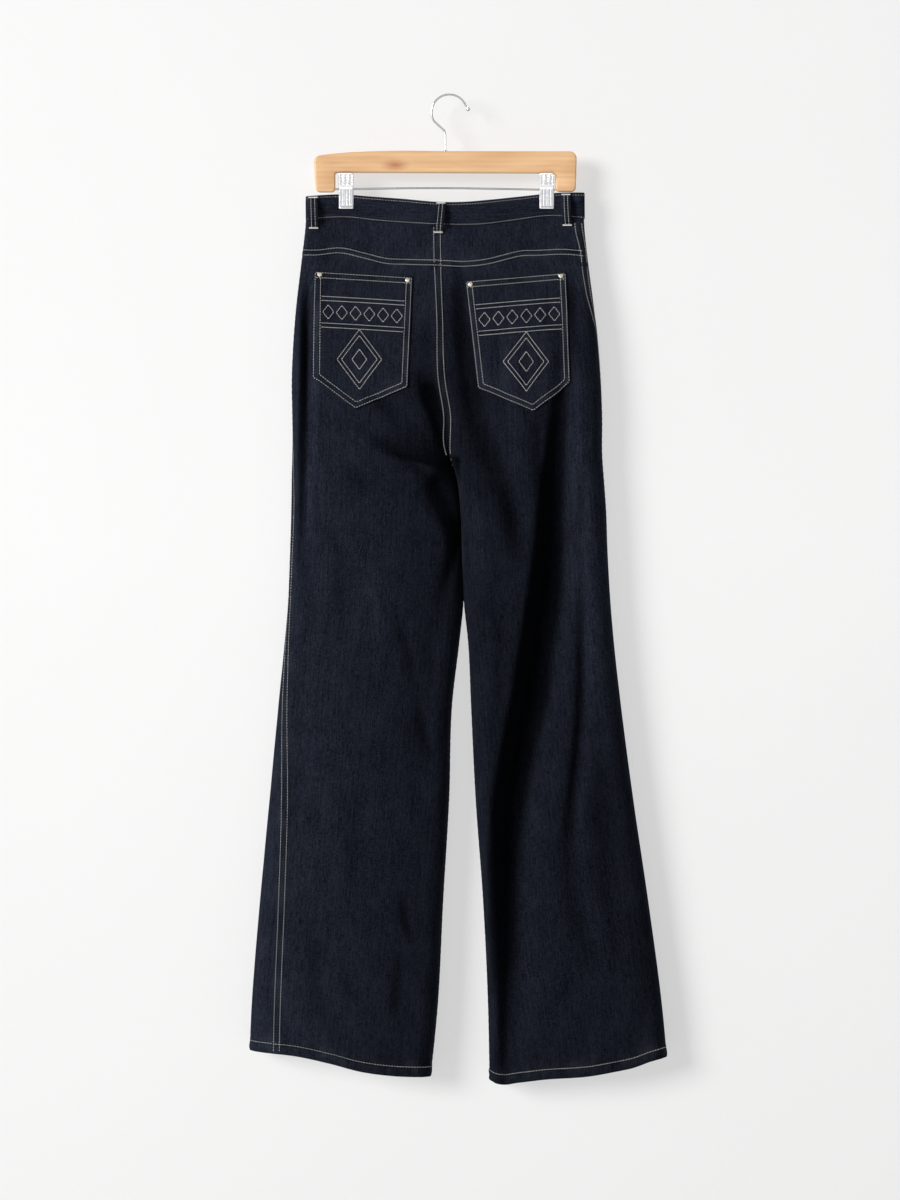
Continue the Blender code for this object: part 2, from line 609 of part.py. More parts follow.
def domed_disc(name, base, top, radius, sides, material):
    sheet = bmesh.new()
    height = float(np.linalg.norm(top - base))
    bmesh.ops.create_cone(sheet, cap_ends=True, segments=sides, radius1=radius * MM,
                          radius2=radius * DOME * MM, depth=height * MM)
    turn = Vector(tuple(top - base)).to_track_quat("Z", "Y").to_matrix()
    middle = Vector(tuple((top + base) / 2 * MM))
    for vert in sheet.verts:
        vert.co = turn @ vert.co + middle
    return add_object(name, sheet, material)


def belt_loop(name, loop, material):
    """A strip tacked at both ends, standing off the band between them."""
    def place(u, v, inset):
        level = loop.top + v * (loop.bottom - loop.top)
        x = loop.x_top + v * (loop.x_bottom - loop.x_top) + (u - 0.5) * LOOP_WIDTH
        stand = smooth_step(0.0, LOOP_RISE, v) * smooth_step(0.0, LOOP_RISE, 1 - v)
        base = PATCH_GAP + BAND_PROUD * (1 - smooth_step(*LOOP_PAST_BAND, v))
        out = base + stand * (LOOP_STAND - PATCH_GAP)
        back = np.full(u.shape, loop.back)
        return surface_point(leg_over(loop.x_top), x, level, back, inset - out - LOOP_WALL)

    return cloth(name, LOOP_COLUMNS, LOOP_ROWS, place, LOOP_WALL, material)


def fly(material):
    """The flap that covers the closure, on the front, with its lower end rounded to a J."""
    def place(u, v, inset):
        rounded = FLY_WIDTH * FLY_ROUND * (1 - np.sqrt(np.clip(1 - (1 - u)**2, 0, 1)))
        level = FLY_TOP + v * (FLY_LENGTH - rounded)
        centre = read(LEFT.rows, "level", "inner", level)
        x = centre + FLY_LAP - (1 - u) * FLY_WIDTH
        back = np.zeros(x.shape, bool)
        out = inset - FLY_WALL - PATCH_GAP
        places = surface_point(LEFT, np.minimum(x, centre), level, back, out)
        places[:, 0] = x
        return places

    return cloth("fly", FLY_COLUMNS, FLY_ROWS, place, FLY_WALL, material)


def waist_button(material):
    x, level = np.array([BUTTON_X]), np.array([BUTTON_LEVEL])
    out = BAND_PROUD + SEAM_GAP
    back = np.array([False])
    base = surface_point(LEFT, x, level, back, np.array([-out]))[0]
    top = surface_point(LEFT, x, level, back, np.array([-out - BUTTON_HEIGHT]))[0]
    return domed_disc("waist_button", base, top, BUTTON_RADIUS, BUTTON_SIDES, material)


# ---- the hanger ----

def hanger_bar(material):
    """A flat board, as an outline with thickness and rounded edges."""
    outline = []
    for index, corner in enumerate(BAR):
        here = np.array([corner.x, -corner.level])
        before = np.array([BAR[index - 1].x, -BAR[index - 1].level])
        after = np.array([BAR[(index + 1) % len(BAR)].x, -BAR[(index + 1) % len(BAR)].level])
        to_before = (before - here) / np.linalg.norm(before - here)
        to_after = (after - here) / np.linalg.norm(after - here)
        for step in range(BAR_ARC_STEPS + 1):
            turn = step / BAR_ARC_STEPS * math.pi / 2
            outline.append(here + corner.round * (to_before * (1 - math.sin(turn))
                                                  + to_after * (1 - math.cos(turn))))
    curve = bpy.data.curves.new("hanger_bar", "CURVE")
    curve.dimensions = "2D"
    curve.fill_mode = "BOTH"
    curve.extrude = (BAR_THICKNESS / 2 - BAR_EDGE) * MM
    curve.bevel_depth = BAR_EDGE * MM
    curve.bevel_resolution = 1
    curve.offset = -BAR_EDGE * MM
    spline = curve.splines.new("POLY")
    spline.points.add(len(outline) - 1)
    for spot, co in zip(spline.points, outline):
        spot.co = (co[0] * MM, co[1] * MM, 0, 1)
    spline.use_cyclic_u = True
    bar = link("hanger_bar", curve, material)
    bar.rotation_euler = (math.pi / 2, 0, 0)
    return bar


def wire(name, rows, radius, resolution, material):
    curve = bpy.data.curves.new(name, "CURVE")
    curve.dimensions = "3D"
    curve.bevel_depth = radius * MM
    curve.bevel_resolution = resolution
    curve.use_fill_caps = True
    spline = curve.splines.new("POLY")
    spline.points.add(len(rows) - 1)
    for spot, row in zip(spline.points, rows):
        spot.co = (row.x * MM, 0, -row.level * MM, 1)
        spot.radius = row.swell
    return link(name, curve, material)


def hanger_hook(material):
    """The wire turns over the origin, which is the inside of its crest, and ends in a ball."""
    centre_level = HOOK_TURN - HOOK_WIRE
    rows = list(SHANK)
    for step in range(HOOK_STEPS + 1):
        angle = math.radians(HOOK_START + (HOOK_END - HOOK_START) * step / HOOK_STEPS)
        rows.append(WireRow(HOOK_X + HOOK_TURN * math.cos(angle),
                            centre_level - HOOK_TURN * math.sin(angle), 1))
    end = rows[-1]
    rows += [WireRow(end.x + row.x, end.level + row.level, row.swell) for row in BALL]
    return wire("hanger_hook", rows, HOOK_WIRE, 2, material)


def clip_rod(material):
    """It runs between the tabs, bowed up a little by the weight on the clips."""
    start, end = BAR[-2].x + SEAM_GAP, BAR[6].x - SEAM_GAP
    rows = []
    for share in np.linspace(0, 1, ROD_POINTS):
        level = float(read(ROD, "share", "level", share))
        rows.append(WireRow(start + share * (end - start), level, 1))
    return wire("clip_rod", rows, ROD_RADIUS, 3, material)


def clip_jaw(name, x_middle, facing, material):
    """A pressed plate with its side edges turned in, which reaches from handle to grip."""
    def place(u, v, inset):
        level = CLIP_ROWS[0].level + v * (CLIP_ROWS[-1].level - CLIP_ROWS[0].level)
        out = read(CLIP_ROWS, "level", "out", level)
        flange = read(CLIP_ROWS, "level", "flange", level)
        column = np.rint(u * 4).astype(int)
        side = np.array([-1, -1, 0, 1, 1])[column]
        at_tip = (column == 0) | (column == 4)
        narrow = 1 - CLIP_NARROW * smooth_step(0.85, 1.0, v)
        x = x_middle + side * (CLIP_WIDTH / 2 * narrow - inset * (side != 0))
        y = np.where(at_tip, out - flange, out - inset)
        return np.stack([x, facing * y, -level], -1)

    return cloth(name, 4, CLIP_CELLS, place, CLIP_WALL, material)


# ---- the whole object ----

def make_material(name, colour, roughness, metallic=0.0):
    material = bpy.data.materials.new(name)
    material.use_nodes = True
    shader = material.node_tree.nodes["Principled BSDF"]
    shader.inputs["Base Color"].default_value = (*colour, 1.0)
    shader.inputs["Roughness"].default_value = roughness
    shader.inputs["Metallic"].default_value = metallic
    material.diffuse_color = (*colour, 1.0)
    return material


def main():
    for leftover in list(bpy.data.objects):
        bpy.data.objects.remove(leftover, do_unlink=True)
    collection = bpy.data.collections.new("wide_leg_jeans")
    bpy.context.scene.collection.children.link(collection)

    denim = make_material("denim", (0.013, 0.017, 0.026), 0.9)
    brass = make_material("trim_metal", (0.55, 0.47, 0.38), 0.35, 1.0)
    wood = make_material("pale_wood", (0.80, 0.50, 0.26), 0.45)
    steel = make_material("bright_steel", (0.78, 0.79, 0.80), 0.15, 1.0)

    for leg in (LEFT, RIGHT):
        leg_panel(f"back_leg_{leg.name}", leg, True, denim)
        leg_panel(f"front_leg_{leg.name}", leg, False, denim)
        yoke(f"yoke_{leg.name}", leg, denim)
    waistband(denim)
    for name, corners in POCKETS.items():
        pocket(name, corners, denim)
        across, down = RIVET_INSET
        for side, corner, sign in (("a", corners.top_left, 1), ("b", corners.top_right, -1)):
            rivet(f"{name}_rivet_{side}", corners.leg, corner[0] + sign * across,
                  corner[1] + down, brass)
    for name, loop in LOOPS.items():
        belt_loop(name, loop, denim)
    fly(denim)
    waist_button(brass)

    hanger_bar(wood)
    hanger_hook(steel)
    clip_rod(steel)
    for side, x_middle in zip(("left", "right"), CLIP_X):
        clip_jaw(f"clip_{side}_back_jaw", x_middle, -1, steel)
        clip_jaw(f"clip_{side}_front_jaw", x_middle, 1, steel)


main()
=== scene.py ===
import math

import bmesh
import bpy
import numpy as np
from mathutils import Matrix, Vector


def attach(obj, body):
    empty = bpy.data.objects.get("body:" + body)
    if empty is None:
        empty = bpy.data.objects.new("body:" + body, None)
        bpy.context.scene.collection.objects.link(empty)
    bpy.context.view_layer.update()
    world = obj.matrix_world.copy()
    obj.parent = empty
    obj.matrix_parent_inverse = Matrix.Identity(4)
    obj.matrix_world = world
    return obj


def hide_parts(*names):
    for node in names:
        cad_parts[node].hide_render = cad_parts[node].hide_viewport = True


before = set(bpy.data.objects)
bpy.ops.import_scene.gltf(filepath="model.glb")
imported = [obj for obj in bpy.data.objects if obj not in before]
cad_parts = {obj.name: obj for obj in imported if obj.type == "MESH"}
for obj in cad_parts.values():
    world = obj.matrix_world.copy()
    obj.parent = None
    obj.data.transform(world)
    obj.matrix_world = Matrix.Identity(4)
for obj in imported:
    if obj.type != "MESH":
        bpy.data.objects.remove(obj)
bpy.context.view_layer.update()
mm = 0.001
tau = 2 * math.pi


def tableOf(columns, *rows):  # named columns out of rows of numbers
    return dict(zip(columns.split(), np.array(rows, float).T))


def readTable(table, key, column, value):  # a smooth curve through the rows
    keys, values = table[key], table[column]
    slopes = np.gradient(values, keys)
    low = np.clip(np.searchsorted(keys, value) - 1, 0, len(keys) - 2)
    span = keys[low + 1] - keys[low]
    t = np.clip((value - keys[low]) / span, 0.0, 1.0)
    return ((2 * t**3 - 3 * t**2 + 1) * values[low] + (t**3 - 2 * t**2 + t) * span * slopes[low]
            + (3 * t**2 - 2 * t**3) * values[low + 1] + (t**3 - t**2) * span * slopes[low + 1])


def atLevel(table, column, level):
    return readTable(table, "level", column, level)


def withinRows(table, column, level):  # the same curve, and 0 above and below the rows
    inside = (level > table["level"][0]) & (level < table["level"][-1])
    return np.where(inside, atLevel(table, column, level), 0.0)


def smoothStep(start, end, value):
    t = np.clip((value - start) / (end - start), 0.0, 1.0)
    return t * t * (3.0 - 2.0 * t)


def wander(a, b, seed):  # a slow, even-handed wobble between about -1 and 1
    return (np.sin(a * 1.00 + b * 0.37 + seed) + np.sin(a * 0.43 - b * 1.13 + seed * 2.3)
            + np.sin(a * 1.71 + b * 0.89 + seed * 4.1) * 0.6 + np.sin(b * 2.13 - a * 0.61 + seed) * 0.4) / 3


# the cut of the jeans, in mm
cut = {
    "cloth": 1.4, "band": 3.0, "bandProud": 1.2, "seamGap": 0.3, "patchGap": 0.9,
    "clamped": 4.0, "edgeEase": 22.0, "centreEase": 12.0, "foldSharpness": 1.3, "floorPower": 2.3,
    "hipTop": 165.0, "hipFull": 330.0, "riseStart": 360.0, "crotch": 488.0,
    "hem": 1290.0, "crown": 0.14, "noseStart": 0.6, "centreX": -17.8,
    "bandLevel": 155.0, "bandUnderlap": 26.0, "lapStart": 2.0, "lapEase": 40.0,
    "seamRise": 0.75,        # how far a felled seam stands up
    "hemDepth": 13.6,        # from the hem's edge to its stitching
    "puckers": 0.17,         # height of the puckers beside a row of stitching
    "ripple": 0.75,          # height of the slow waves of hanging cloth
    "rippleSize": (23, 150), "rippleFrom": (240, 420),
    "creaseGain": 1.5,       # how strong the small creases are
}

leftRows = tableOf(
    "level outer inner outerRound innerRound nose seam",
    (125, -193.5, -17.8, 8, 20, 0, -4), (175, -194.5, -17.6, 10, 20, 0, -6),
    (220, -199.5, -17.1, 20, 22, 0, -8), (300, -208.5, -14.2, 30, 26, 0, -8),
    (390, -213.0, -10.5, 32, 30, 0, -6), (430, -212.5, -3.0, 31, 36, 0, -3),
    (488, -212.5, 0.0, 30, 42, 0, 0), (515, -213.5, 9.0, 29, 42, 3, 2),
    (560, -214.5, 15.5, 28, 38, 6, 4), (620, -216.0, 17.8, 27, 30, 6, 8),
    (681, -218.5, 18.0, 26, 25, 5, 12), (740, -223.5, 12.0, 25, 24, 2, 18),
    (816, -231.0, 3.0, 24, 23, 0, 24), (950, -243.7, -1.5, 24, 22, 0, 33),
    (1086, -256.5, -9.5, 23, 22, 0, 41), (1230, -268.0, -17.0, 22, 22, 0, 47),
    (1340, -272.0, -28.0, 20, 20, 0, 49))
rightRows = tableOf(
    "level outer inner outerRound innerRound nose seam",
    (125, 180.8, -17.8, 8, 20, 0, 10), (175, 181.3, -17.6, 10, 20, 0, 10),
    (220, 186.0, -17.1, 20, 20, 0, 12), (300, 196.0, -14.2, 30, 22, 0, 12),
    (390, 203.5, -10.5, 32, 20, 0, 6), (430, 205.0, -3.0, 31, 15, 0, 3),
    (488, 205.0, 0.6, 30, 13, 0, -1), (515, 207.0, 9.0, 29, 14, -3, -3),
    (560, 210.5, 14.3, 28, 17, -6, -5), (620, 213.0, 16.6, 27, 20, -6, -8),
    (681, 216.5, 18.9, 26, 22, -5, -12), (740, 221.5, 25.0, 25, 22, -2, -16),
    (816, 230.0, 28.5, 24, 22, 0, -20), (950, 247.5, 35.0, 24, 22, 0, -26),
    (1086, 267.5, 45.0, 23, 22, 0, -32), (1230, 286.5, 51.8, 22, 20, 0, -36),
    (1340, 296.5, 54.0, 20, 18, 0, -38))
bodyRows = tableOf(
    "level back front",
    (125, 20, 19), (230, 22, 20), (330, 27, 24), (430, 29, 26), (488, 28, 25), (560, 27, 24),
    (680, 26, 23), (820, 25, 22), (1000, 24, 21), (1150, 24, 22), (1340, 26, 25))
waistHalf = tableOf(
    "x half",
    (-195, 4.4), (-172, 3.9), (-153, 2.6), (-127, 2.6), (-102, 4.4), (-60, 8.6), (0, 10.0),
    (55, 8.6), (90, 4.4), (112, 2.6), (149, 2.6), (166, 3.9), (182, 4.4))
waistTop = tableOf(
    "x level",
    (-194, 136), (-150, 133.5), (-100, 137), (-58, 140.5), (-20, 144), (20, 144), (55, 141),
    (95, 136.5), (143, 131.5), (181, 131))
waistSeam = tableOf(
    "x level",
    (-194, 169), (-138, 166), (-99, 170.5), (-47, 174.5), (0, 176.5), (43, 176), (81, 171),
    (134, 164), (181, 167))
yokeLeft = tableOf(
    "share level",
    (0, 211), (0.15, 212.5), (0.32, 209.5), (0.5, 217), (0.65, 224), (0.8, 225.5), (1, 226.5))
yokeRight = tableOf(
    "share level",
    (0, 213.5), (0.1, 211.5), (0.3, 212.8), (0.42, 213.6), (0.53, 218.6), (0.65, 224.6),
    (0.8, 228), (1, 226.5))
hemLeft = tableOf(
    "x level",
    (-274, 1287.5), (-243, 1291), (-208, 1295), (-161, 1305), (-121, 1315.5), (-78, 1321.5),
    (-27, 1323.5))
hemRight = tableOf(
    "x level",
    (52, 1327.5), (62, 1332), (74, 1334), (90, 1331.5), (121, 1327), (190, 1321.5), (221, 1316),
    (247, 1310.5), (271, 1302), (297, 1296))

# how far the centre rows lie from the centre seam, in mm round the leg
centreLeft = tableOf("level run", (160, 4.4), (370, 4.4), (420, 6.0), (455, 9.5), (486, 13.5))
centreRight = tableOf("level run", (160, 4.4), (370, 4.4), (420, 5.0), (455, 6.2), (486, 7.6))

# where the inner of the two side rows runs, in mm round the leg from its outer edge
sideLeft = tableOf(
    "level run",
    (160, 1), (300, 1), (430, 3), (480, 9), (519, 13.9), (681, 14.6), (816, 25.7), (951, 39),
    (1086, 47.6), (1288, 56.4), (1345, 58))
sideRight = tableOf(
    "level run",
    (160, 15), (213, 15), (246, 18.5), (279, 19), (300, 15), (320, 9), (358, 7), (430, 5), (478, 2),
    (560, -4), (700, -10), (816, -16), (1086, -28), (1345, -34))


def foldOf(*rows):
    return tableOf("level x depth toOuter toInner", *rows)


rightBackFolds = (
    foldOf((270, 153, 0, 20, 15), (340, 151, 7, 20, 14), (411, 150, 10, 22, 14), (478, 144, 16, 27, 15),
           (546, 139, 21, 32, 16), (613, 136, 25, 35, 18), (681, 128, 28, 37, 20),
           (748, 118, 30, 38, 20), (816, 107, 31, 40, 20), (883, 94, 31, 42, 20),
           (951, 83, 30, 44, 19), (1018, 79, 28, 42, 17), (1086, 77.5, 25, 40, 15),
           (1153, 78, 21, 36, 13), (1221, 77, 15, 33, 12), (1340, 76, 8, 28, 11)),
    foldOf((600, 176, 0, 12, 9), (690, 177, 5.5, 12, 9), (860, 175, 7.5, 13, 9),
           (951, 166, 7.5, 14, 10), (1018, 161, 6, 18, 12), (1120, 176, 3.5, 24, 16),
           (1230, 200, 0, 28, 20)),
    foldOf((225, 10, 0, 14, 9), (316, 17, 4, 18, 12), (384, 23, 8, 22, 13), (451, 39, 10, 24, 16),
           (519, 66, 9, 24, 18), (573, 82, 7, 22, 18), (640, 98, 0, 20, 18)))
leftBackFolds = (
    foldOf((225, -188, 0, 7, 7), (290, -190, 6, 7, 8), (400, -190, 7.5, 8, 9),
           (540, -195, 5, 9, 11), (650, -199, 0, 9, 11)),
    foldOf((430, -116, 0, 20, 18), (462, -90, 4.5, 20, 18), (484, -62, 6.5, 20, 18),
           (503, -34, 9, 19, 16), (521, -17, 11, 19, 16), (542, -8, 9, 17, 14),
           (566, 0, 6, 14, 12), (612, 6, 0, 12, 10)),
    foldOf((560, 14, 0, 10, 7), (590, 11, 7, 11, 8), (640, 0, 7.5, 11, 9), (700, -14, 3, 13, 12),
           (860, -34, 2, 16, 14), (980, -40, 0, 16, 14)),
    foldOf((368, -38, 0, 9, 8), (405, -29, 5, 10, 8), (435, -19, 6, 10, 7), (465, -12, 4, 8, 6),
           (488, -8, 0, 8, 6)))
leftFrontFolds = (
    foldOf((430, -120, 0, 26, 20), (600, -122, 8, 30, 20), (800, -128, 12, 34, 22),
           (1000, -136, 11, 36, 24), (1200, -144, 7, 36, 26), (1340, -148, 4, 34, 26)),
    foldOf((390, -92, 0, 20, 16), (440, -66, 4, 20, 16), (490, -40, 5, 18, 15),
           (550, -30, 0, 18, 14)))
rightFrontFolds = (
    foldOf((400, 118, 0, 24, 20), (560, 122, 7, 26, 20), (760, 136, 9, 30, 22),
           (960, 160, 8, 32, 24), (1160, 182, 6, 32, 26), (1340, 192, 4, 30, 26)),
    foldOf((380, 84, 0, 20, 16), (435, 58, 4, 20, 16), (490, 38, 5, 18, 15), (560, 34, 0, 18, 14)))


def paintedShadeBand(*rows):  # painted shade, a band where the cloth is darkened to stand in for shade in the folds: from x to x, how much, and how soft its two sides are
    return tableOf("level start end much softIn softOut", *rows)


rightBackShade = (
    paintedShadeBand((270, 144, 153, 0, 6, 8), (344, 142, 155, 0.6, 6, 8), (411, 139, 155, 0.75, 6, 8),
           (478, 129, 152, 0.85, 6, 9), (546, 119, 150, 0.92, 6, 9), (613, 113, 149, 0.96, 6, 10),
           (681, 103, 145, 0.97, 6, 12), (748, 93, 136, 0.98, 6, 12), (816, 82, 128, 0.98, 6, 13),
           (883, 69, 112, 0.97, 7, 13), (951, 58, 99, 0.96, 7, 14), (1018, 53, 90, 0.94, 6, 16),
           (1086, 54, 87, 0.88, 6, 16), (1153, 56, 87, 0.76, 6, 16), (1221, 60, 80, 0.55, 6, 16),
           (1340, 64, 76, 0.25, 6, 16)),
    paintedShadeBand((600, 172, 178, 0, 4, 6), (690, 173, 179, 0.45, 4, 6), (816, 171, 178, 0.55, 4, 7),
           (883, 165, 173, 0.55, 4, 7), (951, 159, 169, 0.5, 5, 8), (1018, 155, 166, 0.4, 5, 9),
           (1120, 165, 182, 0.2, 8, 12), (1230, 190, 206, 0, 8, 12)),
    paintedShadeBand((485, -20, 9, 0, 4, 3), (489, -20, 12, 1, 4, 3), (503, -20, 13, 1, 4, 3),
           (516, -20, 13, 0.8, 4, 4), (530, -20, 12, 0.35, 4, 5), (548, -20, 11, 0, 4, 5)),
    paintedShadeBand((222, 157, 168, 0, 5, 8), (258, 158, 168, 0.6, 5, 8), (340, 159, 168, 0.6, 5, 8),
           (400, 158, 166, 0.3, 5, 8), (450, 158, 166, 0, 5, 8)),
    paintedShadeBand((225, 2, 12, 0, 5, 8), (262, 3, 16, 0.6, 5, 9), (316, 6, 21, 0.65, 5, 11),
           (384, 17, 33, 0.6, 8, 14),
           (451, 34, 50, 0.55, 8, 14), (519, 62, 76, 0.45, 10, 14), (573, 80, 92, 0.4, 10, 12),
           (640, 98, 106, 0, 10, 10)))
leftBackShade = (
    paintedShadeBand((230, -202, -192, 0, 3, 6), (290, -202, -192, 0.85, 3, 6), (440, -204, -193, 0.92, 3, 6),
           (560, -205, -196, 0.6, 3, 6), (700, -208, -200, 0, 3, 6)),
    paintedShadeBand((420, -60, -4, 0, 20, 20), (455, -78, -8, 0.32, 26, 16), (476, -84, -6, 0.62, 24, 14),
           (488, -64, 30, 0.78, 24, 10), (501, -22, 30, 1, 16, 10), (518, -25, 30, 1, 12, 10),
           (532, -30, 30, 0.8, 14, 10), (560, -22, 30, 0.6, 18, 10), (590, -2, 30, 0.8, 14, 10),
           (640, 2, 30, 0.5, 16, 10), (720, 4, 30, 0, 16, 10)),
    paintedShadeBand((565, 8, 16, 0, 6, 6), (600, 4, 14, 0.6, 8, 8), (650, -8, 2, 0.5, 8, 9),
           (740, -24, -12, 0, 10, 10)),
    paintedShadeBand((362, -44, -26, 0, 8, 6), (390, -42, -21, 0.8, 8, 6), (412, -38, -18, 0.9, 8, 6),
           (438, -25, -9, 0.95, 8, 5), (465, -15, -7, 0.9, 8, 5), (486, -9, -5, 0, 8, 5)))

# small creases: from x, level to x, level, depth (a ridge if below 0) and half width
leftBackCreases = (
    (-74, 700, -47, 822, 1.5, 8), (-47, 812, -26, 900, 1.4, 8), (-64, 1072, -50, 1148, 2.0, 6),
    (-66, 1150, -76, 1250, 1.4, 7), (-189, 1070, -168, 1268, 1.5, 12), (-118, 392, -66, 448, 1.6, 9),
    (-30, 388, -8, 440, 1.8, 7), (-150, 500, -102, 540, 1.2, 10), (-176, 250, -178, 600, -1.4, 11),
    (-150, 560, -162, 760, 0.8, 14), (-118, 600, -96, 780, -0.9, 12), (-120, 900, -128, 1120, 0.8, 16),
    (-205, 800, -214, 1010, 0.7, 9), (-35, 300, -30, 372, 1.0, 7))
rightBackCreases = (
    (92, 280, 103, 540, -1.6, 13), (58, 300, 64, 420, 0.9, 8), (72, 520, 88, 640, 1.3, 9),
    (34, 520, 42, 690, -1.4, 12), (52, 640, 60, 860, 0.9, 9), (176, 300, 186, 470, 1.0, 9),
    (186, 480, 176, 640, 0.9, 9), (205, 880, 222, 1090, 1.2, 14), (190, 1010, 218, 1200, 0.9, 12),
    (118, 430, 126, 540, 1.2, 8), (60, 1190, 66, 1300, -0.8, 5), (240, 1080, 262, 1260, 0.8, 12))
leftFrontCreases = (
    (-60, 420, -18, 470, 1.5, 9), (-90, 470, -30, 505, 1.3, 9), (-170, 300, -176, 560, 1.0, 12),
    (-70, 700, -48, 840, 1.2, 9), (-190, 900, -206, 1120, 1.0, 13), (-90, 1000, -96, 1220, -0.9, 12),
    (-60, 860, -70, 1040, 0.8, 9), (-140, 240, -120, 330, 0.9, 10))
rightFrontCreases = (
    (50, 415, 10, 465, 1.5, 9), (84, 465, 24, 500, 1.2, 9), (172, 320, 180, 560, 1.0, 12),
    (70, 690, 60, 830, 1.2, 9), (218, 900, 240, 1130, 1.0, 13), (110, 960, 104, 1200, -0.9, 12),
    (88, 860, 92, 1030, 0.8, 9), (120, 240, 110, 330, 0.9, 10))

# paintedShading: each leg's painted light and shade, a base level, a painted highlight on the outer ridge,
# painted shade toward the inner edge and bands of painted shade
legs = {
    "left": {"inward": 1, "rows": leftRows, "yoke": yokeLeft, "hem": hemLeft, "side": sideLeft,
             "centre": centreLeft, "folds": {True: leftBackFolds, False: leftFrontFolds},
             "creases": {True: leftBackCreases, False: leftFrontCreases}, "seed": 1.3,
             "paintedShading": {"base": 0.86, "outer": 0.12, "inner": 0.40, "bands": leftBackShade},
             "sideFrom": 228, "centreRow": (232, 486), "yokeCentreRow": (178, 227)},
    "right": {"inward": -1, "rows": rightRows, "yoke": yokeRight, "hem": hemRight, "side": sideRight,
              "centre": centreRight, "folds": {True: rightBackFolds, False: rightFrontFolds},
              "creases": {True: rightBackCreases, False: rightFrontCreases}, "seed": 4.9,
              "paintedShading": {"base": 0.50, "outer": 0.48, "inner": 0.0, "bands": rightBackShade},
              "sideFrom": 231, "centreRow": (232, 484), "yokeCentreRow": (178, 230)},
}
# painted light and shade on the legs: pairs are where a change begins and is done: levels, shares across or
# depths of a fold
paintedShadeCut = {
    "hips": (230, 330), "outerAt": 0.13, "outerLow": (700, 900), "innerAcross": (0.15, 1.0),
    "innerFrom": (250, 420), "foldDepths": (1.5, 16), "fold": 0.6, "crease": 0.13, "overlap": 3,
}


def foldDepth(folds, x, level, inward):
    total = np.zeros_like(x)
    for rows in folds:
        offset = (x - atLevel(rows, "x", level)) * inward
        width = np.where(offset > 0, atLevel(rows, "toInner", level), atLevel(rows, "toOuter", level))
        depth = withinRows(rows, "depth", level)
        power = np.where(offset > 0, 2.0, cut["floorPower"])  # the outer side has the flatter floor
        total = total + depth * np.exp(-np.abs(offset / width) ** power * cut["foldSharpness"])
    return total


def creaseDepth(creases, x, level):
    total = np.zeros_like(x)
    for x0, level0, x1, level1, depth, width in creases:
        length = math.hypot(x1 - x0, level1 - level0)
        along = ((x - x0) * (x1 - x0) + (level - level0) * (level1 - level0)) / length**2
        aside = ((x - x0) * (level1 - level0) - (level - level0) * (x1 - x0)) / length
        bow = aside - 0.05 * length * np.sin(math.pi * np.clip(along, 0, 1)) * math.sin(x0)
        fade = np.sin(math.pi * np.clip(along, 0, 1)) ** 0.8
        total = total + depth * cut["creaseGain"] * fade * np.exp(-(bow / width) ** 2)
    return total


def centreTurn(level):
    t = np.clip((level - cut["riseStart"]) / (cut["crotch"] - cut["riseStart"]), 0.0, 1.0)
    return 1.0 - np.sqrt(1.0 - t * t)


def fullHalf(level, back):  # half the depth of the open body
    return np.where(back, atLevel(bodyRows, "back", level), atLevel(bodyRows, "front", level))


def sectionRuns(leg, level, back):  # outer arc, flat and inner arc of a section, and its width
    half = fullHalf(level, back)
    opening = smoothStep(cut["hipTop"], cut["hipFull"], level)
    half = np.where(level < cut["hipFull"], half * opening + cut["clamped"], half)
    outerRound = atLevel(leg["rows"], "outerRound", level)
    innerRound = atLevel(leg["rows"], "innerRound", level)
    width = abs(atLevel(leg["rows"], "inner", level) - atLevel(leg["rows"], "outer", level))
    outerRun = math.pi / 2 * np.sqrt((outerRound**2 + half**2) / 2)
    turn = centreTurn(level)
    innerRun = (turn * math.pi / 2 * np.sqrt((innerRound**2 + half**2) / 2)
                + (1 - turn) * innerRound)
    return outerRun, width - outerRound - innerRound, innerRun, width


def legSkin(leg, level, q, creased=True):  # q: 0 at the outer edge, 1 behind and -1 in front
    back = q >= 0
    outerRun, flatRun, innerRun, width = sectionRuns(leg, level, back)
    outerRound = atLevel(leg["rows"], "outerRound", level)
    innerRound = atLevel(leg["rows"], "innerRound", level)
    turn = centreTurn(level)
    whole = outerRun + flatRun + innerRun
    run = np.abs(q) * whole
    outerAngle = np.clip(run / outerRun, 0, 1) * math.pi / 2
    innerShare = np.clip((run - outerRun - flatRun) / innerRun, 0, 1)
    innerAngle = innerShare * math.pi / 2
    across = (outerRound * (1 - np.cos(outerAngle)) + np.clip(run - outerRun, 0, flatRun)
              + innerRound * (turn * np.sin(innerAngle) + (1 - turn) * innerShare))
    lift = np.sin(outerAngle) * (1 - turn * (1 - np.cos(innerAngle)))
    x = atLevel(leg["rows"], "outer", level) + leg["inward"] * across
    crown = 1 - cut["crown"] + cut["crown"] * np.sin(math.pi * across / width * (0.5 + 0.5 * turn))
    openOut = smoothStep(cut["hipTop"], cut["hipFull"], level)
    full = fullHalf(level, back)
    half = readTable(waistHalf, "x", "half", x) * (1 - openOut) + full * crown * openOut
    pressed = np.zeros_like(x)
    for side in (True, False):
        here = foldDepth(leg["folds"][side], x, level, leg["inward"])
        if creased:
            here = here + creaseDepth(leg["creases"][side], x, level)
        pressed = np.where(back == side, here, pressed)
    if creased:
        free = smoothStep(*cut["rippleFrom"], level)
        wide, tall = cut["rippleSize"]
        pressed = pressed + cut["ripple"] * free * wander(x / wide, level / tall, leg["seed"])
    nearEnds = smoothStep(0, cut["edgeEase"], run) * smoothStep(0, cut["centreEase"], whole - run)
    nose = atLevel(leg["rows"], "nose", level) * smoothStep(cut["noseStart"], 1.0, across / width)
    facing = np.where(back, -1.0, 1.0)
    y = nose + (facing * half - nose) * lift - facing * pressed * nearEnds
    return x, y


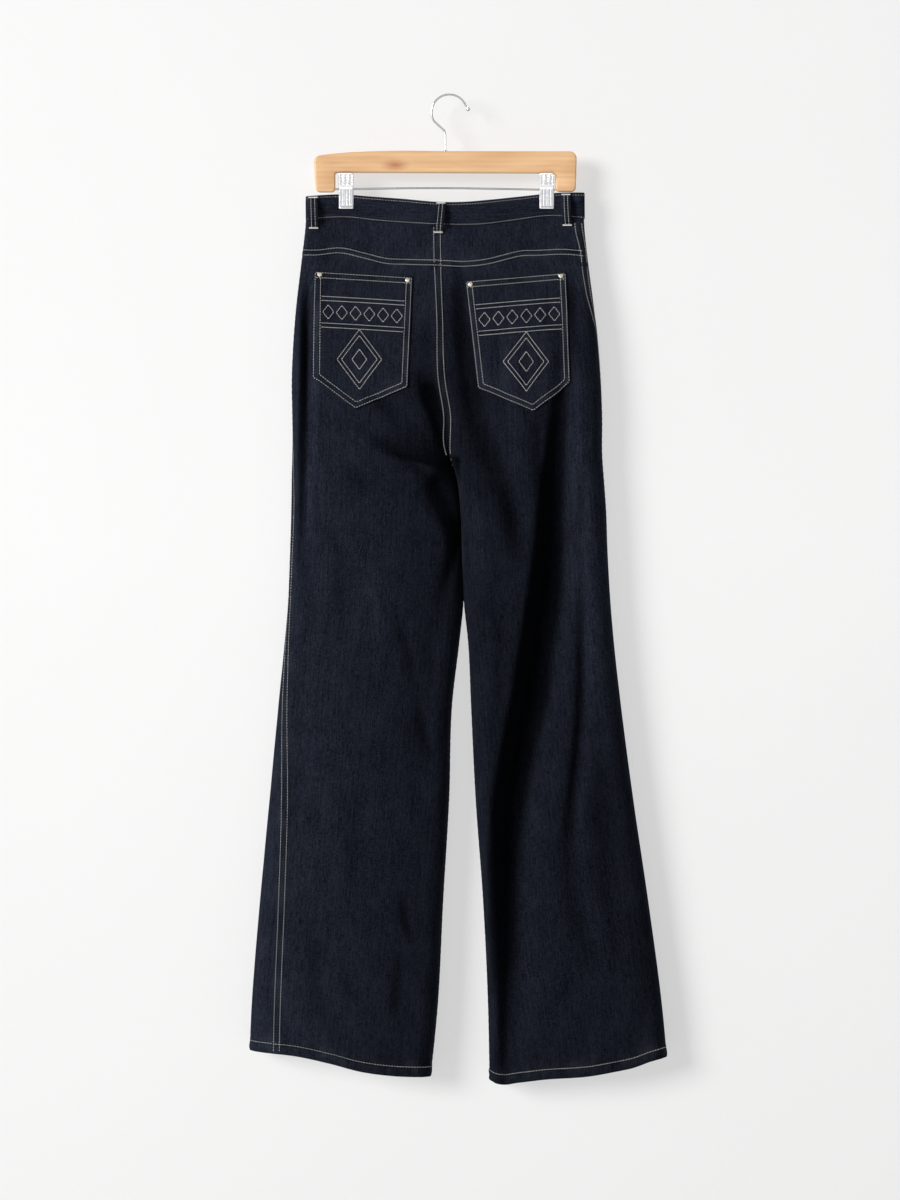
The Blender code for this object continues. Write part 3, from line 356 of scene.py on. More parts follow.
def legPaintedShade(leg, level, q, back):  # painted light and shade: the cloth is painted lighter on its outer ridge and darker in its folds, toward its inner edge and in the bands, where the light leaves shade
    x = legSkin(leg, level, q, False)[0]
    across = abs(x - atLevel(leg["rows"], "outer", level)) / sectionRuns(leg, level, q >= 0)[3]
    paintedShading = leg["paintedShading"]
    paintedLightLevel = paintedShading["base"] + (1 - paintedShading["base"]) * (1 - smoothStep(*paintedShadeCut["hips"], level))
    ridge = np.exp(-((across - paintedShadeCut["outerAt"]) / paintedShadeCut["outerAt"]) ** 2)
    paintedLightLevel = paintedLightLevel + paintedShading["outer"] * ridge * (
        1 - smoothStep(*paintedShadeCut["outerLow"], level) * (leg["inward"] < 0))
    paintedLightLevel = paintedLightLevel - (paintedShading["inner"] * smoothStep(*paintedShadeCut["innerAcross"], across)
                     * smoothStep(*paintedShadeCut["innerFrom"], level))
    # painted shade in the folds of the front
    if not back:
        depth = foldDepth(leg["folds"][back], x, level, leg["inward"])
        paintedLightLevel = paintedLightLevel - paintedShadeCut["fold"] * smoothStep(*paintedShadeCut["foldDepths"], depth)
    lap = paintedShadeCut["overlap"]
    # painted shade in the bands on the back
    for rows in paintedShading["bands"] if back else ():
        start, end = atLevel(rows, "start", level), atLevel(rows, "end", level)
        entering = smoothStep(start - atLevel(rows, "softIn", level), start + lap, x)
        leaving = smoothStep(end - lap, end + atLevel(rows, "softOut", level), x)
        paintedLightLevel = paintedLightLevel * (1 - withinRows(rows, "much", level) * entering * (1 - leaving))
    # painted shade in the creases
    return paintedLightLevel - paintedShadeCut["crease"] * creaseDepth(leg["creases"][back], x, level)


def skinFrame(leg, level, q, creased=True):  # the places in mm and which way is out
    x, y = legSkin(leg, level, q, creased)
    stepQ, stepLevel = 0.004, 1.0
    xa, ya = legSkin(leg, level, np.clip(q - stepQ, -1, 1), creased)
    xb, yb = legSkin(leg, level, np.clip(q + stepQ, -1, 1), creased)
    xc, yc = legSkin(leg, level - stepLevel, q, creased)
    xd, yd = legSkin(leg, level + stepLevel, q, creased)
    along = np.stack([xb - xa, yb - ya, np.zeros_like(x)], -1)
    down = np.stack([xd - xc, yd - yc, np.full_like(x, -2 * stepLevel)], -1)
    out = np.cross(along, down) * -leg["inward"]
    out = out / np.linalg.norm(out, axis=-1, keepdims=True)
    return np.stack([x, y, -level], -1), out


def sectionLength(leg, level, back):
    return sum(sectionRuns(leg, level, back)[:3])


def placeOver(leg, level, x, back):  # the q that lies over x
    outerRun, flatRun, innerRun, width = sectionRuns(leg, level, back)
    outerRound = atLevel(leg["rows"], "outerRound", level)
    across = np.clip((x - atLevel(leg["rows"], "outer", level)) * leg["inward"], 0, width)
    onArc = np.arccos(np.clip(1 - across / outerRound, -1, 1)) / (math.pi / 2) * outerRun
    run = np.where(across < outerRound, onArc, outerRun + across - outerRound)
    q = run / (outerRun + flatRun + innerRun)
    return np.where(back, q, -q)


def sideSeam(leg, level):  # the q of the side seam
    seam = atLevel(leg["rows"], "seam", level)
    return seam / sectionLength(leg, level, seam >= 0)


def panelPlace(leg, level, share, back):  # q at a share of the way from side seam to inner seam
    start = sideSeam(leg, level)
    return start + share * ((1 if back else -1) - start)


def panelShare(leg, level, q, back):
    start = sideSeam(leg, level)
    return np.clip((q - start) / ((1 if back else -1) - start), 0, 1)


def yokeSeam(leg, share):
    return readTable(leg["yoke"], "share", "level", share)


def hemLine(leg, level, q):  # the hem's level straight below a place
    x = legSkin(leg, np.maximum(level, cut["hem"]), q, False)[0]
    return readTable(leg["hem"], "x", "level", x)


def hemLevelAt(leg, share, back, above=0.0):
    level = np.full(share.shape, cut["hem"])
    for _ in range(4):
        level = hemLine(leg, level, panelPlace(leg, level, share, back)) - above
    return level


def plateau(distance, low, high, softLow, softHigh):  # 1 between low and high, with soft sides
    return smoothStep(low - softLow, low, distance) * (1 - smoothStep(high, high + softHigh, distance))


# where each raised seam begins and ends and how soft its sides are, in mm from its row or seam
seamCut = {
    "side": (-9.6, 1.5, 2.2, 1.1), "yoke": (-4.7, 4.7, 1.2, 1.4), "yokeRise": 0.95,
    "centre": (0.4, 2.2), "centreEnd": (484, 496), "centreLow": 486,
    "inseam": (3.2, 6.0), "inseamFrom": (470, 520), "inseamRise": 0.55,
    "hem": (0.4, 2.2), "hemEdge": 2.4, "roping": (2.6, 0.9, 1.8), "puckerPitch": 1.35,
    "reach": {"side": 9.0, "centre": 8.0, "yoke": 8.0, "hem": 9.0},  # how far a seam gathers cloth
}


def legRelief(leg, level, q, back):  # felled seams, the turned hem and the puckers beside stitching
    reach = seamCut["reach"]
    run = q * sectionLength(leg, level, q >= 0)
    whole = sectionLength(leg, level, np.full(q.shape, back))
    sideRun = atLevel(leg["side"], "run", level)
    fade = 0.75 + 0.25 * wander(level / 31, run / 90, leg["seed"])
    side = plateau(run - sideRun, *seamCut["side"]) * fade
    fromCentre = whole - np.abs(run)
    centreRun = atLevel(leg["centre"], "run", np.minimum(level, seamCut["centreLow"]))
    rise = (1 - smoothStep(*seamCut["centre"], fromCentre - centreRun)) * (
        1 - smoothStep(*seamCut["centreEnd"], level))
    inseam = (1 - smoothStep(*seamCut["inseam"], fromCentre)) * smoothStep(
        *seamCut["inseamFrom"], level) * seamCut["inseamRise"]
    relief = np.maximum.reduce([side, rise, inseam])
    closeness = (np.exp(-((run - sideRun + 4) / reach["side"]) ** 2)
                 + np.exp(-(fromCentre / reach["centre"]) ** 2))
    if back:
        fromYoke = level - yokeSeam(leg, panelShare(leg, level, q, back))
        relief = np.maximum(relief, plateau(fromYoke, *seamCut["yoke"]) * seamCut["yokeRise"])
        closeness = closeness + np.exp(-(fromYoke / reach["yoke"]) ** 2)
    toHem = hemLine(leg, level, q) - level
    size, slant, sway = seamCut["roping"]
    roping = np.sin((run + toHem * slant) / size + sway * wander(run / 21, level / 60, 2.2))
    fromRow = toHem - cut["hemDepth"]
    hem = (1 - smoothStep(*seamCut["hem"], fromRow)) * (0.75 + 0.45 * roping)
    hem = hem - 0.7 * (1 - smoothStep(0, seamCut["hemEdge"], toHem))
    closeness = closeness + np.exp(-(fromRow / reach["hem"]) ** 2)
    puckers = cut["puckers"] * np.sin(
        level / seamCut["puckerPitch"] + 1.6 * wander(level / 14, run / 30, 5.1))
    return cut["seamRise"] * (relief + hem) + puckers * np.clip(closeness, 0, 1), closeness


def pushedOut(places, out, lift):  # lift: one height for all places, or one for each
    return places + out * np.expand_dims(np.broadcast_to(lift, places.shape[:-1]), -1), out


def legPoint(leg, level, q, back):  # places on the finished face of a leg, and which way is out
    return pushedOut(*skinFrame(leg, level, q), legRelief(leg, level, q, back)[0])


def denseShares(count, length, close):  # grid shares, packed where close lists (place, reach, gain)
    fine = np.linspace(0, 1, 4000)
    density = np.ones_like(fine)
    for place, reach, gain in close:
        density += gain * np.exp(-((fine * length - place) / reach) ** 2)
    total = np.concatenate([[0], np.cumsum((density[1:] + density[:-1]) / 2)])
    return np.interp(np.linspace(0, 1, count + 1), total / total[-1], fine)


def facesOut(build):
    bmesh.ops.recalc_face_normals(build, faces=build.faces[:])
    if build.calc_volume(signed=True) < 0:
        bmesh.ops.reverse_faces(build, faces=build.faces[:])


def meshOf(build, name, sharp=180):  # what was built, as a smooth mesh with edges above an angle
    mesh = bpy.data.meshes.new(name)
    build.to_mesh(mesh)
    build.free()
    mesh.shade_smooth()
    if sharp < 180:
        mesh.set_sharp_from_angle(angle=math.radians(sharp))
    return mesh


# a wall of cloth or plate on a grid: place gives mm, cloth mm, closeness to a seam and the painted light
# level, below 1 where shade is painted
def doubleSkin(name, acrossShares, downShares, place, sharp):
    columns, rows = len(acrossShares) - 1, len(downShares) - 1
    sheet = bmesh.new()
    bmesh.ops.create_grid(sheet, x_segments=columns, y_segments=rows, size=0.5)
    made = bmesh.ops.extrude_face_region(sheet, geom=sheet.faces[:], use_keep_orig=True)
    innerVerts = {v for v in made["geom"] if isinstance(v, bmesh.types.BMVert)}
    verts = list(sheet.verts)
    column = np.rint(np.array([v.co.x + 0.5 for v in verts]) * columns).astype(int)
    row = np.rint(np.array([v.co.y + 0.5 for v in verts]) * rows).astype(int)
    inner = np.array([v in innerVerts for v in verts])
    for face in sheet.faces:
        face.material_index = 1 if all(v in innerVerts for v in face.verts) else 0
    places, flat, nearSeam, paintedLightLevel = place(acrossShares[column], downShares[row], inner)
    for vert, co in zip(verts, places * mm):
        vert.co = co
    facesOut(sheet)
    mesh = meshOf(sheet, name, sharp)
    corner = np.zeros(len(mesh.loops), np.int32)
    mesh.loops.foreach_get("vertex_index", corner)
    uv = (flat * mm)[corner].astype(np.float32)
    mesh.uv_layers.new(name="cloth").data.foreach_set("uv", uv.ravel())
    for label, values in (("nearSeam", nearSeam), ("paintedLightLevel", paintedLightLevel)):
        values = np.broadcast_to(np.clip(values, 0, 1), inner.shape).astype(np.float32)
        mesh.attributes.new(label, "FLOAT", "POINT").data.foreach_set("value", values)
    return addPiece(name, mesh)


def addPiece(name, mesh):
    piece = bpy.data.objects.new(name, mesh)
    bpy.context.scene.collection.objects.link(piece)
    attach(piece, "root")
    return piece


def finishPiece(piece, slot, look, *nodes):
    for material in look:
        piece.data.materials.append(material)
    if nodes:
        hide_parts(*nodes)
    return piece


def evenShares(count):
    return np.linspace(0, 1, count + 1)


def clothPiece(node, across, down, place, sharp=55):  # the cloth that stands for a node
    return finishPiece(doubleSkin(node + "_cloth", across, down, place, sharp), "denim", denim, node)


def foldedEdge(toEdge, radius=1.4, drop=0.85):  # how far a turned edge falls away
    t = np.clip(toEdge / radius, 0, 1)
    return -drop * (1 - np.sqrt(1 - (1 - t) ** 2))


def toPolygon(corners, x, level):  # distance inside a closed outline, in mm
    nearest = np.full(x.shape, 1e9)
    for (x0, y0), (x1, y1) in zip(corners, corners[1:] + corners[:1]):
        length = (x1 - x0) ** 2 + (y1 - y0) ** 2
        t = np.clip(((x - x0) * (x1 - x0) + (level - y0) * (y1 - y0)) / length, 0, 1)
        nearest = np.minimum(nearest, np.hypot(x - x0 - t * (x1 - x0), level - y0 - t * (y1 - y0)))
    return nearest


def addNode(tree, kind, inputs=None, **settings):  # inputs are values, or sockets to be linked
    made = tree.nodes.new(kind)
    for key, value in settings.items():
        setattr(made, key, value)
    for key, value in (inputs or {}).items():
        if isinstance(value, bpy.types.NodeSocket):
            tree.links.new(value, made.inputs[key])
        else:
            made.inputs[key].default_value = value
    return made


def calc(tree, operation, a, b=0.0, c=0.0, clamp=False):
    return addNode(tree, "ShaderNodeMath", {0: a, 1: b, 2: c}, operation=operation,
                   use_clamp=clamp).outputs[0]


def mixColour(tree, share, a, b, blend="MIX"):
    made = addNode(tree, "ShaderNodeMix", {0: share, 6: a, 7: b}, data_type="RGBA", blend_type=blend)
    return made.outputs[2]


def stretched(tree, vector, scale):
    return addNode(tree, "ShaderNodeVectorMath", {0: vector, 1: scale}, operation="MULTIPLY").outputs[0]


def noise(tree, vector, scale, detail=2.0, roughness=0.5):
    return addNode(tree, "ShaderNodeTexNoise", {"Vector": vector, "Scale": scale, "Detail": detail,
                                                "Roughness": roughness}).outputs["Fac"]


def remap(tree, value, low, high, toLow=0.0, toHigh=1.0):
    return addNode(tree, "ShaderNodeMapRange", {"Value": value, "From Min": low, "From Max": high,
                                                "To Min": toLow, "To Max": toHigh}).outputs[0]


def grey(tree, value):
    return addNode(tree, "ShaderNodeCombineColor", {0: value, 1: value, 2: value}).outputs[0]


def makeGroup(name, inputs, outputs):
    tree = bpy.data.node_groups.new(name, "ShaderNodeTree")
    for label, kind, value in inputs:
        socket = tree.interface.new_socket(label, in_out="INPUT", socket_type="NodeSocket" + kind)
        if value is not None:
            socket.default_value = value
    for label, kind in outputs:
        tree.interface.new_socket(label, in_out="OUTPUT", socket_type="NodeSocket" + kind)
    return tree, tree.nodes.new("NodeGroupInput").outputs, tree.nodes.new("NodeGroupOutput").inputs


def makeMaterial(name, **constants):
    material = bpy.data.materials.new(name)
    material.use_nodes = True
    tree = material.node_tree
    shader = tree.nodes["Principled BSDF"]
    for label, value in constants.items():
        shader.inputs[label.replace("_", " ")].default_value = value
    return material, tree, shader


def bumped(tree, shader, height, distance):
    bump = addNode(tree, "ShaderNodeBump", {"Height": height, "Distance": distance, "Strength": 1.0})
    tree.links.new(bump.outputs[0], shader.inputs["Normal"])


denimLook = {
    "deep": (0.0040, 0.0048, 0.0086, 1), "warp": (0.0220, 0.0267, 0.0404, 1),
    "weft": (0.075, 0.082, 0.095, 1), "reverseWarp": (0.075, 0.085, 0.105, 1),
    "reverseWeft": (0.19, 0.195, 0.20, 1), "flecks": 0.30, "reverseFlecks": 0.8,
    "twillMm": 0.95, "twillSlant": 0.62, "sheen": 0.02, "bumpMm": 0.30, "paintedShadeDim": 0.10,
}
# what mottles the denim: noise scale across and along, detail, roughness, range read, range added
denimNoises = {
    "streaks": ((1.1, 0.05), 3.0, 0.62, (0.28, 0.72), (0.18, 0.82)),
    "slubs": ((0.30, 0.012), 2.0, 0.5, (0.30, 0.70), (-0.17, 0.17)),
    "mottle": ((0.040, 0.022), 3.0, 0.6, (0.3, 0.7), (-0.15, 0.15)),
    "weftSlub": ((0.10, 1.0), 2.0, 0.5, (0.3, 0.7), (-0.14, 0.14)),
    "grain": ((0.75, 0.55), 2.0, 0.7, (0.3, 0.7), (-0.40, 0.40)),
    "heather": ((0.42, 0.26), 3.0, 0.75, (0.3, 0.7), (-0.34, 0.34)),
    "dashes": ((0.62, 0.11), 2.0, 0.6, (0.3, 0.7), (-0.26, 0.26)),
}


def makeTwill():
    black = (0, 0, 0, 1)
    tree, given, result = makeGroup(
        "denimTwill",
        [("Flat", "Vector", None), ("Near Seam", "Float", 0.0), ("Painted Light Level", "Float", 1.0),
         ("Deep", "Color", black), ("Warp", "Color", black), ("Weft", "Color", black),
         ("Flecks", "Float", 0.5)],
        [("Colour", "Color"), ("Rough", "Float"), ("Height", "Float")])
    flat = stretched(tree, given["Flat"], (1000, 1000, 1000))
    parts = addNode(tree, "ShaderNodeSeparateXYZ", {0: flat}).outputs
    paintedShadeDim = (denimLook["paintedShadeDim"],) * 3 + (1,)
    drift = noise(tree, stretched(tree, flat, (0.05, 0.012, 1)), 1.0, 2.0)
    turns = tau / denimLook["twillMm"]
    slant = calc(tree, "ADD", calc(tree, "MULTIPLY", parts[0], turns),
                 calc(tree, "MULTIPLY", parts[1], turns * denimLook["twillSlant"]))
    slant = calc(tree, "ADD", slant, calc(tree, "MULTIPLY", drift, 9.0))
    twill = calc(tree, "MULTIPLY_ADD", calc(tree, "SINE", slant), 0.5, 0.5)
    fleck = remap(tree, noise(tree, stretched(tree, flat, (1.9, 1.1, 1)), 1.0, 1.0), 0.63, 0.74)
    fields, body = {}, 0.0
    for label, (scale, detail, roughness, read, added) in denimNoises.items():
        fields[label] = noise(tree, stretched(tree, flat, (*scale, 1)), 1.0, detail, roughness)
        body = calc(tree, "ADD", body, remap(tree, fields[label], *read, *added))
    body = calc(tree, "MULTIPLY", body, remap(tree, twill, 0.0, 1.0, 0.62, 1.0), clamp=True)
    colour = mixColour(tree, body, given["Deep"], given["Warp"])
    # painted shade: where the painted light level falls below 1 the colour is darkened
    colour = mixColour(tree, given["Painted Light Level"], mixColour(tree, 1.0, colour, paintedShadeDim, "MULTIPLY"), colour)
    worn = calc(tree, "MULTIPLY", given["Near Seam"],
                remap(tree, fields["mottle"], 0.42, 0.70, 0.0, 0.12))
    showing = calc(tree, "MULTIPLY", calc(tree, "MULTIPLY", fleck, given["Flecks"]),
                   remap(tree, twill, 0.2, 0.6, 0.9, 0.1))
    colour = mixColour(tree, calc(tree, "ADD", showing, worn, clamp=True), colour, given["Weft"])
    height = calc(tree, "MULTIPLY", twill, 0.45)
    for label, rise in (("streaks", 0.9), ("weftSlub", 0.35)):
        height = calc(tree, "ADD", height, calc(tree, "MULTIPLY", fields[label], rise))
    tree.links.new(colour, result["Colour"])
    tree.links.new(remap(tree, body, 0.0, 1.0, 0.93, 0.80), result["Rough"])
    tree.links.new(height, result["Height"])
    return tree


def makeDenim(name, twill, deep, warp, weft, flecks):
    material, tree, shader = makeMaterial(
        name, Sheen_Weight=denimLook["sheen"], Sheen_Roughness=0.45,
        Sheen_Tint=(0.72, 0.80, 1.0, 1), Specular_IOR_Level=0.0)
    flat = addNode(tree, "ShaderNodeUVMap", uv_map="cloth").outputs[0]
    near = addNode(tree, "ShaderNodeAttribute", attribute_name="nearSeam").outputs["Fac"]
    paintedLightLevel = addNode(tree, "ShaderNodeAttribute", attribute_name="paintedLightLevel").outputs["Fac"]
    look = addNode(tree, "ShaderNodeGroup", {
        "Flat": flat, "Near Seam": near, "Painted Light Level": paintedLightLevel, "Deep": deep, "Warp": warp, "Weft": weft,
        "Flecks": flecks}, node_tree=twill).outputs
    tree.links.new(look["Colour"], shader.inputs["Base Color"])
    tree.links.new(look["Rough"], shader.inputs["Roughness"])
    bumped(tree, shader, look["Height"], denimLook["bumpMm"] * mm)
    return material


twill = makeTwill()
denimFace = makeDenim("denimFace", twill, denimLook["deep"], denimLook["warp"], denimLook["weft"],
                      denimLook["flecks"])
denimReverse = makeDenim("denimReverse", twill, denimLook["reverseWarp"], denimLook["reverseWeft"],
                         denimLook["reverseWeft"], denimLook["reverseFlecks"])
denim = (denimFace, denimReverse)

threadLook = {"pale": (0.97, 0.955, 0.915, 1), "dark": (0.78, 0.755, 0.69, 1), "rough": 0.62,
              "twistMm": (0.55, 0.8), "agedScale": 160.0, "bumpMm": 0.08}


def makeThread():
    material, tree, shader = makeMaterial("creamThread", Roughness=threadLook["rough"],
                                          Sheen_Weight=0.2, Sheen_Roughness=0.4,
                                          Specular_IOR_Level=0.35)
    flat = stretched(tree, addNode(tree, "ShaderNodeUVMap", uv_map="cloth").outputs[0],
                     (1000, 1000, 1000))
    parts = addNode(tree, "ShaderNodeSeparateXYZ", {0: flat}).outputs
    along, across = threadLook["twistMm"]
    twist = calc(tree, "SINE", calc(tree, "ADD", calc(tree, "MULTIPLY", parts[0], tau / along),
                                    calc(tree, "MULTIPLY", parts[1], tau / across)))
    place = addNode(tree, "ShaderNodeTexCoord").outputs["Object"]
    aged = noise(tree, place, threadLook["agedScale"], 2.0)
    share = calc(tree, "ADD", remap(tree, twist, -1, 1, 0.0, 0.35),
                 remap(tree, aged, 0.3, 0.7, 0.0, 0.5), clamp=True)
    tree.links.new(mixColour(tree, share, threadLook["pale"], threadLook["dark"]),
                   shader.inputs["Base Color"])
    bumped(tree, shader, twist, threadLook["bumpMm"] * mm)
    return material


thread = makeThread()

# a size is a stitch's length, width and height in mm
stitchCut = {
    "pitch": 3.8, "size": (2.25, 0.71, 0.78), "fine": (2.2, 0.62, 0.60), "sink": 0.17, "uneven": 0.07,
    "tack": {"size": (2.2, 0.7, 0.75), "pitch": 0.62, "width": 12.2, "proud": 0.15},
}


def stitchTemplate():
    ball = bmesh.new()
    bmesh.ops.create_icosphere(ball, subdivisions=1, radius=0.5)
    ball.verts.ensure_lookup_table()
    verts = np.array([v.co[:] for v in ball.verts])
    faces = np.array([[v.index for v in face.verts] for face in ball.faces])
    ball.free()
    return verts[:, [2, 0, 1]], faces


stitchVerts, stitchFaces = stitchTemplate()


def evenly(places, outs, pitch):  # even steps along a run of close points
    steps = np.linalg.norm(np.diff(places, axis=0), axis=1)
    run = np.concatenate([[0], np.cumsum(steps)])
    count = max(1, int(round(run[-1] / pitch)))
    marks = (np.arange(count) + 0.5) / count * run[-1]

    def readAt(spots, values):
        return np.stack([np.interp(spots, run, values[:, i]) for i in range(3)], -1)

    reach = pitch * 0.4
    along = readAt(marks + reach, places) - readAt(marks - reach, places)
    along /= np.linalg.norm(along, axis=1, keepdims=True)
    return readAt(marks, places), along, readAt(marks, outs)


# rows: places and outs, and where they differ from the usual a pitch, a size and a fixed direction
def makeStitches(name, rows):
    usual = (stitchCut["pitch"], stitchCut["size"], None)
    middles, alongs, outs, sizes = [], [], [], []
    for places, normals, *own in rows:
        pitch, size, fixed = (*own, *usual[len(own):])
        middle, along, out = evenly(places, normals, pitch)
        if fixed is not None:
            along = np.broadcast_to(np.array(fixed, float), along.shape)
        middles.append(middle)
        alongs.append(along)
        outs.append(out)
        sizes.append(np.tile(size, (len(middle), 1)))
    middle, along, out, size = map(np.concatenate, (middles, alongs, outs, sizes))
    side = np.cross(out, along)
    side /= np.linalg.norm(side, axis=1, keepdims=True)
    up = np.cross(along, side)
    order = np.arange(len(middle))
    size = size * (1 + stitchCut["uneven"] * np.sin(order * 2.399)[:, None])
    lean = stitchCut["uneven"] * np.sin(order * 1.713)[:, None]
    along, side = along + side * lean, side - along * lean
    local = stitchVerts[None] * size[:, None, :]
    centre = middle + out * (size[:, 2:] / 2 - stitchCut["sink"])
    places = (centre[:, None] + local[..., :1] * along[:, None] + local[..., 1:2] * side[:, None]
              + local[..., 2:] * up[:, None])
    verts = (places * mm).reshape(-1, 3)
    faces = (stitchFaces[None] + (order * len(stitchVerts))[:, None, None]).reshape(-1, 3)
    mesh = bpy.data.meshes.new(name)
    mesh.vertices.add(len(verts))
    mesh.vertices.foreach_set("co", verts.astype(np.float32).ravel())
    mesh.loops.add(faces.size)
    mesh.loops.foreach_set("vertex_index", faces.astype(np.int32).ravel())
    mesh.polygons.add(len(faces))
    mesh.polygons.foreach_set("loop_start", np.arange(0, faces.size, 3, dtype=np.int32))
    mesh.update(calc_edges=True)
    flat = (local[..., :2] * mm + order[:, None, None] * 0.0031).reshape(-1, 2)[faces.ravel()]
    mesh.uv_layers.new(name="cloth").data.foreach_set("uv", flat.astype(np.float32).ravel())
    mesh.shade_smooth()
    mesh.validate()
    return finishPiece(addPiece(name, mesh), "thread", [thread])


def barTack(place, out, across):  # upright stitches side by side round a place
    tack = stitchCut["tack"]
    ends = np.array([-0.5, 0.5])[:, None] * tack["width"] * across + place
    return ends, np.stack([out, out]), tack["pitch"], tack["size"], (0, 0, 1)


# the grid of each panel and where its lines lie closer: place, reach and gain in mm
panelCut = {
    "back_left": (100, 380), "back_right": (116, 380), "front_left": (64, 260),
    "front_right": (64, 260), "width": 250, "closeAcross": ((0, 7, 1.6), (250, 7, 1.6)),
    "length": 1090, "closeDown": ((0, 9, 5.0), (1090, 15, 4.5), (265, 120, 0.5)),
    "sideRows": (0.0, -8.0), "yokeRow": 3.35, "aboveHem": 3.0,
}


def legTop(leg, share, back):
    return yokeSeam(leg, share) if back else waistSeamLevel(leg, share, False)


def waistSeamLevel(leg, share, back):
    level = np.full_like(share, 169.0)
    for _ in range(3):
        x = legSkin(leg, level, panelPlace(leg, level, share, back), False)[0]
        level = readTable(waistSeam, "x", "level", x)
    return level


def panelSkin(leg, level, share, back, inner):  # the places, the run round the leg and nearSeam
    q = panelPlace(leg, level, share, back)
    relief, nearSeam = legRelief(leg, level, q, back)
    places = pushedOut(*skinFrame(leg, level, q), np.where(inner, -cut["cloth"], relief))[0]
    return places, q * sectionLength(leg, level, q >= 0), nearSeam


def makeLegPanel(side, back):
    leg = legs[side]
    face = "back" if back else "front"
    columns, rows = panelCut[face + "_" + side]
    across = denseShares(columns, panelCut["width"], panelCut["closeAcross"])
    down = denseShares(rows, panelCut["length"], panelCut["closeDown"])

    def place(share, v, inner):
        top, hem = legTop(leg, share, back), hemLevelAt(leg, share, back)
        level = top + v * (hem - top)
        places, run, nearSeam = panelSkin(leg, level, share, back, inner)
        paintedShading = legPaintedShade(leg, level, panelPlace(leg, level, share, back), back)
        return places, np.stack([run, level], -1), nearSeam, paintedShading

    return clothPiece(face + "_leg_" + side, across, down, place)


def sideStitches(leg, level, offset):  # a row along the side seam, as far round from the inner one
    run = atLevel(leg["side"], "run", level) + offset
    return legPoint(leg, level, run / sectionLength(leg, level, run >= 0), True)


def centreStitches(leg, level, inset):
    whole = sectionLength(leg, level, np.ones(level.shape, bool))
    return legPoint(leg, level, 1 - inset / whole, True)


def yokeStitches(leg, offset):
    share = np.linspace(0.0, 1.0, 500)
    level = yokeSeam(leg, share) + offset
    return legPoint(leg, level, panelPlace(leg, level, share, True), True)


def hemStitches(leg, back):
    share = np.linspace(0.005, 0.995, 500)
    level = hemLevelAt(leg, share, back, cut["hemDepth"])
    return legPoint(leg, level, panelPlace(leg, level, share, back), back)


def makeLegStitches(side):
    leg = legs[side]
    fine = (stitchCut["pitch"], stitchCut["fine"])
    hemEdge = hemLevelAt(leg, np.array([0.0]), True)[0]
    level = np.linspace(leg["sideFrom"], hemEdge - panelCut["aboveHem"], 1500)
    rows = [sideStitches(leg, level, offset) + fine for offset in panelCut["sideRows"]]
    level = np.linspace(*leg["centreRow"], 500)
    rows.append(centreStitches(leg, level, atLevel(leg["centre"], "run", level)))
    rows.append(yokeStitches(leg, panelCut["yokeRow"]))
    rows.append(hemStitches(leg, True) + fine)
    return (makeStitches("stitches_back_leg_" + side, rows),
            makeStitches("stitches_front_leg_" + side, [hemStitches(leg, False) + fine]))


yokeCut = {
    "left": 96, "right": 104, "rows": 30, "width": 190, "closeAcross": ((0, 7, 1.5), (190, 7, 1.5)),
    "height": 45, "closeDown": ((45, 8, 1.6),), "grain": (0.97, 0.24),
    "centreInset": 4.4, "sideRows": (172, 226),
}


def makeYoke(side):
    leg = legs[side]
    across = denseShares(yokeCut[side], yokeCut["width"], yokeCut["closeAcross"])
    down = denseShares(yokeCut["rows"], yokeCut["height"], yokeCut["closeDown"])
    straight, slant = yokeCut["grain"]

    def place(share, v, inner):
        top = waistSeamLevel(leg, share, True)
        level = top + v * (yokeSeam(leg, share) - top)
        places, run, nearSeam = panelSkin(leg, level, share, True, inner)
        turned = np.stack([run * straight - level * slant, level * straight + run * slant], -1)
        return places, turned, nearSeam, 1.0

    piece = clothPiece("yoke_" + side, across, down, place)
    rows = [yokeStitches(leg, -panelCut["yokeRow"]),
            centreStitches(leg, np.linspace(*leg["yokeCentreRow"], 120), yokeCut["centreInset"])]
    for offset in panelCut["sideRows"]:
        rows.append(sideStitches(leg, np.linspace(*yokeCut["sideRows"], 120), offset))
    return piece, makeStitches("stitches_yoke_" + side, rows)


bandCut = {
    "columns": 400, "rows": 16, "height": 33.0, "gridHeight": 34,
    "closeDown": ((0, 2.5, 2.2), (34, 2.5, 1.6)), "topRow": 3.4, "lowRow": 2.2,
    "stitch": (1.9, 0.56, 0.42), "slowWave": 0.22, "edgeWave": 0.10,
    "topFold": (1.8, 1.2), "lowFold": (1.3, 0.7), "innerFold": (1.8, 1.0),
    "rowStart": 30, "rowEnd": 2, "proud": 0.05,
}


